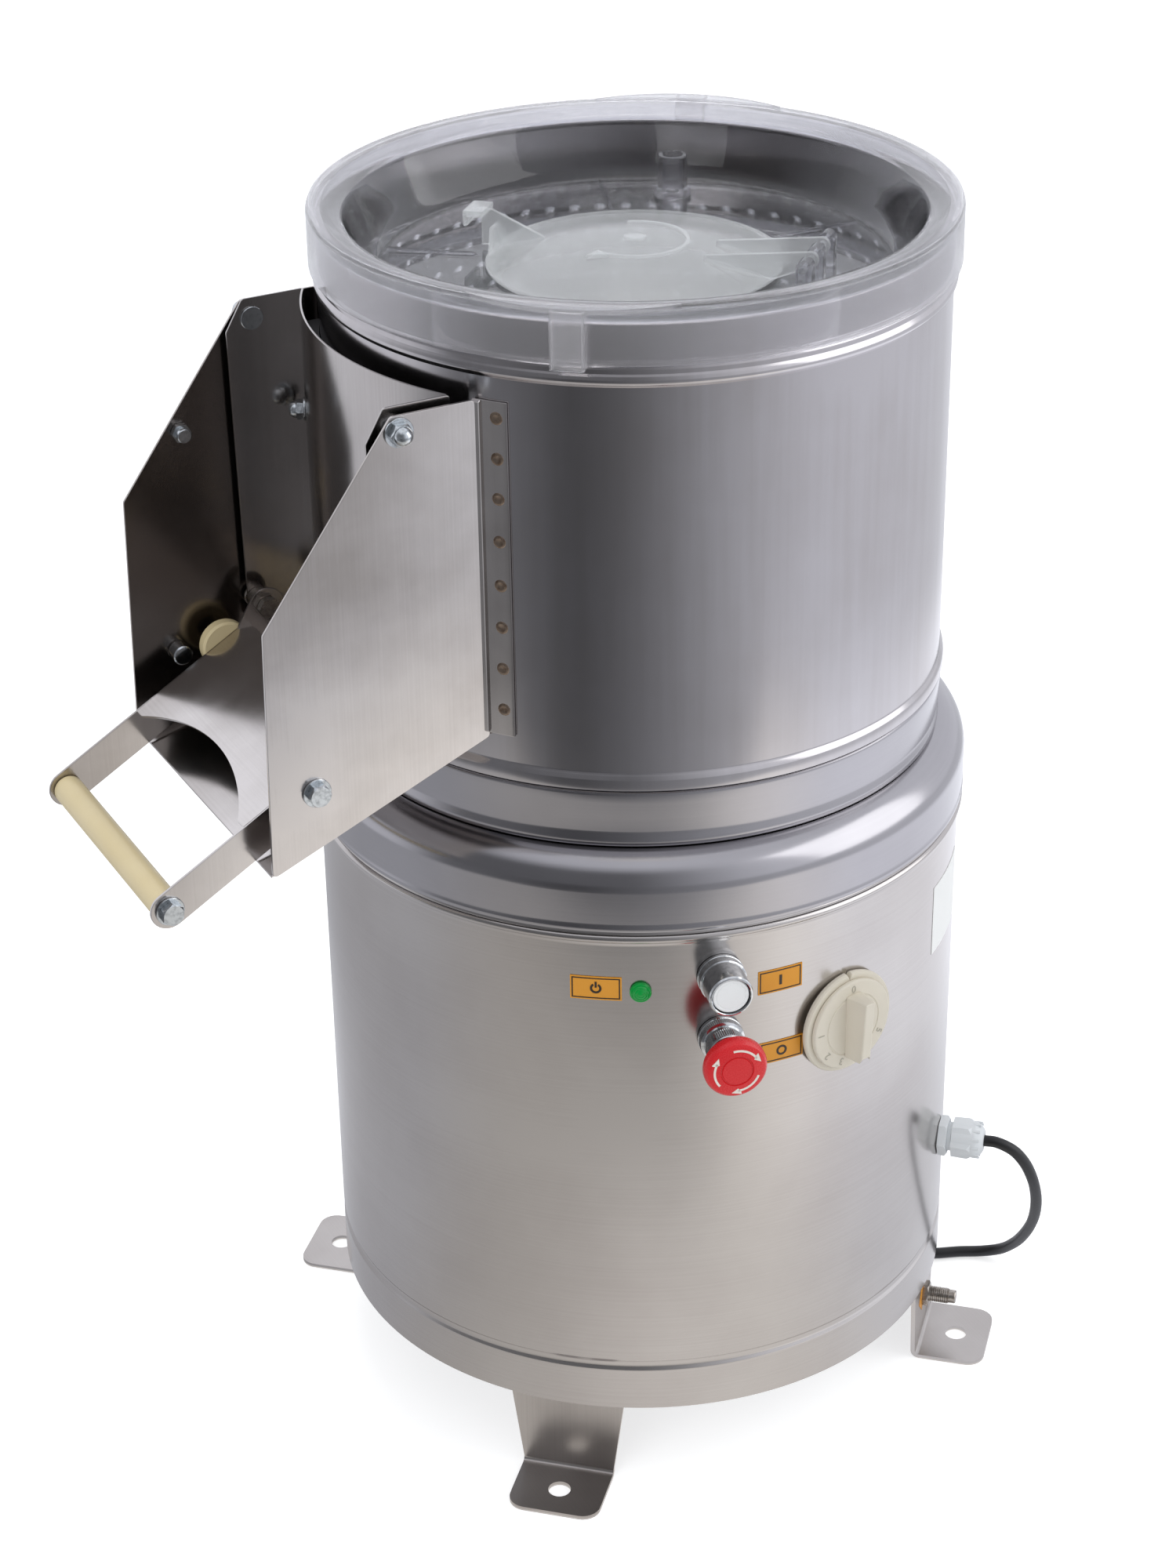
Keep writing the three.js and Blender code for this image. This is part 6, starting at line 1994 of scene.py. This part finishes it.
@dataclass
class Studio:
    """Camera, floor, lamps and world; the camera's place in millimetres, the stage in metres."""

    spot: Triple = (-922.87, -1699.72, 1393.7)
    forward: Triple = (0.406756, 0.781361, -0.47332)
    up: Triple = (0.231690, 0.412950, 0.88080)
    lens: float = 75.74
    floor_size: float = 14.0
    floor_glow: float = 0.58
    tent_radius: float = 6.0
    tent_level: float = 0.001
    world_glow: float = 0.92

    def camera(self) -> None:
        """Puts the camera where the photograph was taken from."""
        data = bpy.data.cameras.new("photo_camera")
        data.lens = self.lens
        data.sensor_width = 36.0
        data.clip_end = 50.0
        obj = added("photo_camera", data)
        back = -Vector(self.forward).normalized()
        right = Vector(self.up).cross(back).normalized()
        turn = Matrix((right, back.cross(right), back)).transposed().to_4x4()
        obj.matrix_world = Matrix.Translation(TO_FRAME @ Vector(self.spot)) @ turn
        bpy.context.scene.camera = obj

    @staticmethod
    def bare_material(name: str) -> bpy.types.Material:
        """Makes a material with an empty node tree.

        Args:
            name: Its name.

        Returns:
            The material.
        """
        made = bpy.data.materials.new(name)
        made.use_nodes = True
        made.node_tree.nodes.clear()
        return made

    @staticmethod
    def seen_directly(tree: Tree) -> Socket:
        """Gives 1 where the camera, metal or glass looks at the stage, and 0 where it lights things.

        Args:
            tree: The node tree of the stage's material or of the world.

        Returns:
            The value.
        """
        rays = add_node(tree, "LightPath", out=None).outputs
        shiny = {0: rays["Is Camera Ray"], 1: rays["Is Glossy Ray"]}
        first = add_node(tree, "Math", shiny, operation="MAXIMUM")
        return add_node(tree, "Math", {0: first, 1: rays["Is Transmission Ray"]}, operation="MAXIMUM")

    def floor(self) -> None:
        """Lays a plain pale floor that keeps the machine's shadow."""
        clear()
        bpy.ops.mesh.primitive_plane_add(size=self.floor_size, location=(0, 0, 0))
        obj = bpy.context.object
        obj.name = "studio_floor"
        paint = self.bare_material("studio_floor_paint")
        tree = paint.node_tree
        shine = {0: self.seen_directly(tree), 1: self.floor_glow}
        strength = add_node(tree, "Math", shine, operation="MULTIPLY")
        matt = add_node(tree, "BsdfDiffuse", {"Color": linear("#e4e4e4")})
        light = add_node(tree, "Emission", {"Color": (1, 1, 1, 1), "Strength": strength})
        both = add_node(tree, "AddShader", {0: matt, 1: light})
        add_node(tree, "OutputMaterial", {"Surface": both}, None)
        obj.data.materials.append(paint)

    def tent(self) -> None:
        """Hangs a soft tent that only shiny surfaces see, dim on the left and bright on the right.

        Bare steel shows nothing but its surroundings, so a photographer hangs such a tent round it.
        """
        clear()
        sphere = {"segments": 48, "ring_count": 24, "radius": self.tent_radius}
        bpy.ops.mesh.primitive_uv_sphere_add(location=(0, 0, 0), **sphere)
        obj = bpy.context.object
        obj.name = "studio_tent"
        bpy.ops.object.mode_set(mode="EDIT")
        bpy.ops.mesh.select_all(action="SELECT")
        cut = {"plane_co": (0, 0, self.tent_level), "plane_no": (0, 0, 1)}
        bpy.ops.mesh.bisect(clear_inner=True, use_fill=True, **cut)
        bpy.ops.object.mode_set(mode="OBJECT")
        obj.data.materials.append(self.cloth())
        obj.visible_camera = False
        obj.visible_diffuse = False
        obj.visible_shadow = False

    def cloth(self) -> bpy.types.Material:
        """Builds the tent's glowing cloth and the table under the machine.

        Returns:
            The material.
        """
        made = self.bare_material("studio_tent_cloth")
        made.cycles.emission_sampling = "NONE"
        tree = made.node_tree
        coords = add_node(tree, "TexCoord", out="Object")
        centred = add_node(tree, "Mapping", {"Vector": coords, "Location": (-AXIS.x, -AXIS.y, 0)})
        flat = add_node(tree, "VectorMath", {0: centred, 1: (1, 1, 0)}, operation="MULTIPLY")
        unit = add_node(tree, "VectorMath", {0: flat}, operation="NORMALIZE")
        reach = add_node(tree, "VectorMath", {0: flat}, "Value", operation="LENGTH")
        level = add_node(tree, "SeparateXYZ", {"Vector": centred}, "Z")

        hung = {0: level, 1: self.tent_level + 0.01}
        value = {
            "reach": reach,
            "level": level,
            "hung": add_node(tree, "Math", hung, operation="GREATER_THAN"),
        }
        # Directions round the drum, in degrees from the front
        ways = (("right", unit, 80), ("back", unit, 180), ("viewer", unit, -30), ("ahead", flat, -28.5))
        for name, vector, turn in ways:
            inputs = {0: vector, 1: polar(1, turn)}
            value[name] = add_node(tree, "VectorMath", inputs, "Value", operation="DOT_PRODUCT")
        # Smooth rises: what is measured, its two ends and the two brightnesses or shares there
        rises = (
            ("outside", "reach", 0.35, 0.7, 0.0, 1.0),
            ("far_out", "reach", 1.12, 1.42, 0.0, 1.0),
            ("before", "ahead", 0.84, 0.98, 0.0, 1.0),
            ("roof", "level", 3.6, 5.6, 0.0, 1.0),
            ("facing", "viewer", 0.2, 0.9, 0.0, 1.0),
            ("table_foot", "right", -1.0, -0.2, 0.58, 0.92),
            ("table_side", "right", -0.25, 0.6, 0.56, 1.3),
            ("far_right", "right", -0.75, 1.1, 0.1, 0.9),
            ("far_left", "right", -1.0, -0.6, 0.22, 0.1),
            ("far_back", "back", -0.1, 0.5, 0.1, 0.9),
            ("cloth_right", "right", -0.5, 0.65, 0.16, 1.05),
            ("cloth_back", "back", 0.0, 1.0, 0.2, 1.1),
        )
        for name, source, *ends in rises:
            inputs = dict(zip(("From Min", "From Max", "To Min", "To Max"), ends))
            inputs["Value"] = value[source]
            value[name] = add_node(tree, "MapRange", inputs, interpolation_type="SMOOTHSTEP")
        # Two terms give the larger one; a share and two terms give their mix
        sums = (
            ("near", "outside", "table_foot", "table_side"),
            ("lit", "far_right", "far_back"),
            ("far", "lit", "far_left"),
            ("away", "before", "far_out"),
            ("table", "away", "near", "far"),
            ("side", "cloth_right", "cloth_back"),
            ("cloth", "roof", "side", 0.9),
            ("glow", "hung", "table", "cloth"),
            ("warm", "away", "facing", 0.0),
        )
        for name, *terms in sums:
            sources = [value.get(term, term) for term in terms]
            if len(sources) == 2:
                value[name] = add_node(tree, "Math", dict(enumerate(sources)), operation="MAXIMUM")
            else:
                inputs = dict(zip((0, 2, 3), sources))
                value[name] = add_node(tree, "Mix", inputs, data_type="FLOAT")
        tint = {0: value["warm"], 6: linear("#f5f7ff"), 7: linear("#fffcf9")}
        colour = add_node(tree, "Mix", tint, 2, data_type="RGBA")
        light = add_node(tree, "Emission", {"Color": colour, "Strength": value["glow"]})
        add_node(tree, "OutputMaterial", {"Surface": light}, None)
        return made

    def lamp(self, name: str, spot: Triple, aim: Triple, size: float, power: float, shows: bool) -> None:
        """Hangs one soft square lamp.

        Args:
            name: Its name.
            spot: Where it hangs.
            aim: What it points at.
            size: Its side.
            power: Its power in watts.
            shows: True where shiny surfaces mirror it.
        """
        data = bpy.data.lights.new(name, "AREA")
        data.size = size
        data.energy = power
        obj = added(name, data)
        obj.visible_glossy = shows
        way = Vector(aim) - Vector(spot)
        obj.matrix_world = Matrix.Translation(spot) @ way.to_track_quat("-Z", "Y").to_matrix().to_4x4()

    def world(self) -> None:
        """Lights the scene evenly, with a white background."""
        world = bpy.data.worlds.new("studio_world")
        bpy.context.scene.world = world
        world.use_nodes = True
        tree = world.node_tree
        tree.nodes.clear()
        seen = self.seen_directly(tree)
        coords = add_node(tree, "TexCoord", out="Generated")
        height = add_node(tree, "SeparateXYZ", {"Vector": coords}, "Z")
        lift = add_node(tree, "MapRange", {"Value": height, "From Min": -0.1, "From Max": 0.9})
        colours = {0: lift, 6: linear("#b9bcc0"), 7: linear("#e9ebee")}
        sky = add_node(tree, "Mix", colours, 2, data_type="RGBA")
        room = add_node(tree, "Background", {"Color": sky, "Strength": self.world_glow})
        white = add_node(tree, "Background", {"Color": (1, 1, 1, 1), "Strength": 1.0})
        both = add_node(tree, "MixShader", {0: seen, 1: room, 2: white})
        add_node(tree, "OutputWorld", {"Surface": both}, None)

    def build(self) -> None:
        """Builds floor, tent, lamps and world."""
        self.floor()
        self.tent()
        self.lamp("key_lamp", (2.3, -1.6, 1.7), (0.1, 0, 0.4), 2.8, 30, True)
        self.lamp("left_lamp", (-2.4, -1.8, 2.0), (0.1, 0, 0.4), 1.6, 16, False)
        self.lamp("top_lamp", (0.3, 0.7, 2.9), (0.1, 0, 0.5), 1.4, 16, False)
        self.world()


def main() -> None:
    """Builds the camera and cord first, then the machine from its feet upwards."""
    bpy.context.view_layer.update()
    bpy.context.scene.view_settings.view_transform = "Standard"
    studio = Studio()
    studio.camera()
    SupplyCord().build()
    for unit in (CableGland(), BaseUnit(), DrumUnit(), Chute(), Door(), Lever(), Lid(), Hatch(), Controls()):
        log.info("building %s", type(unit).__name__)
        unit.build()
    studio.build()


if __name__ == "__main__":
    main()
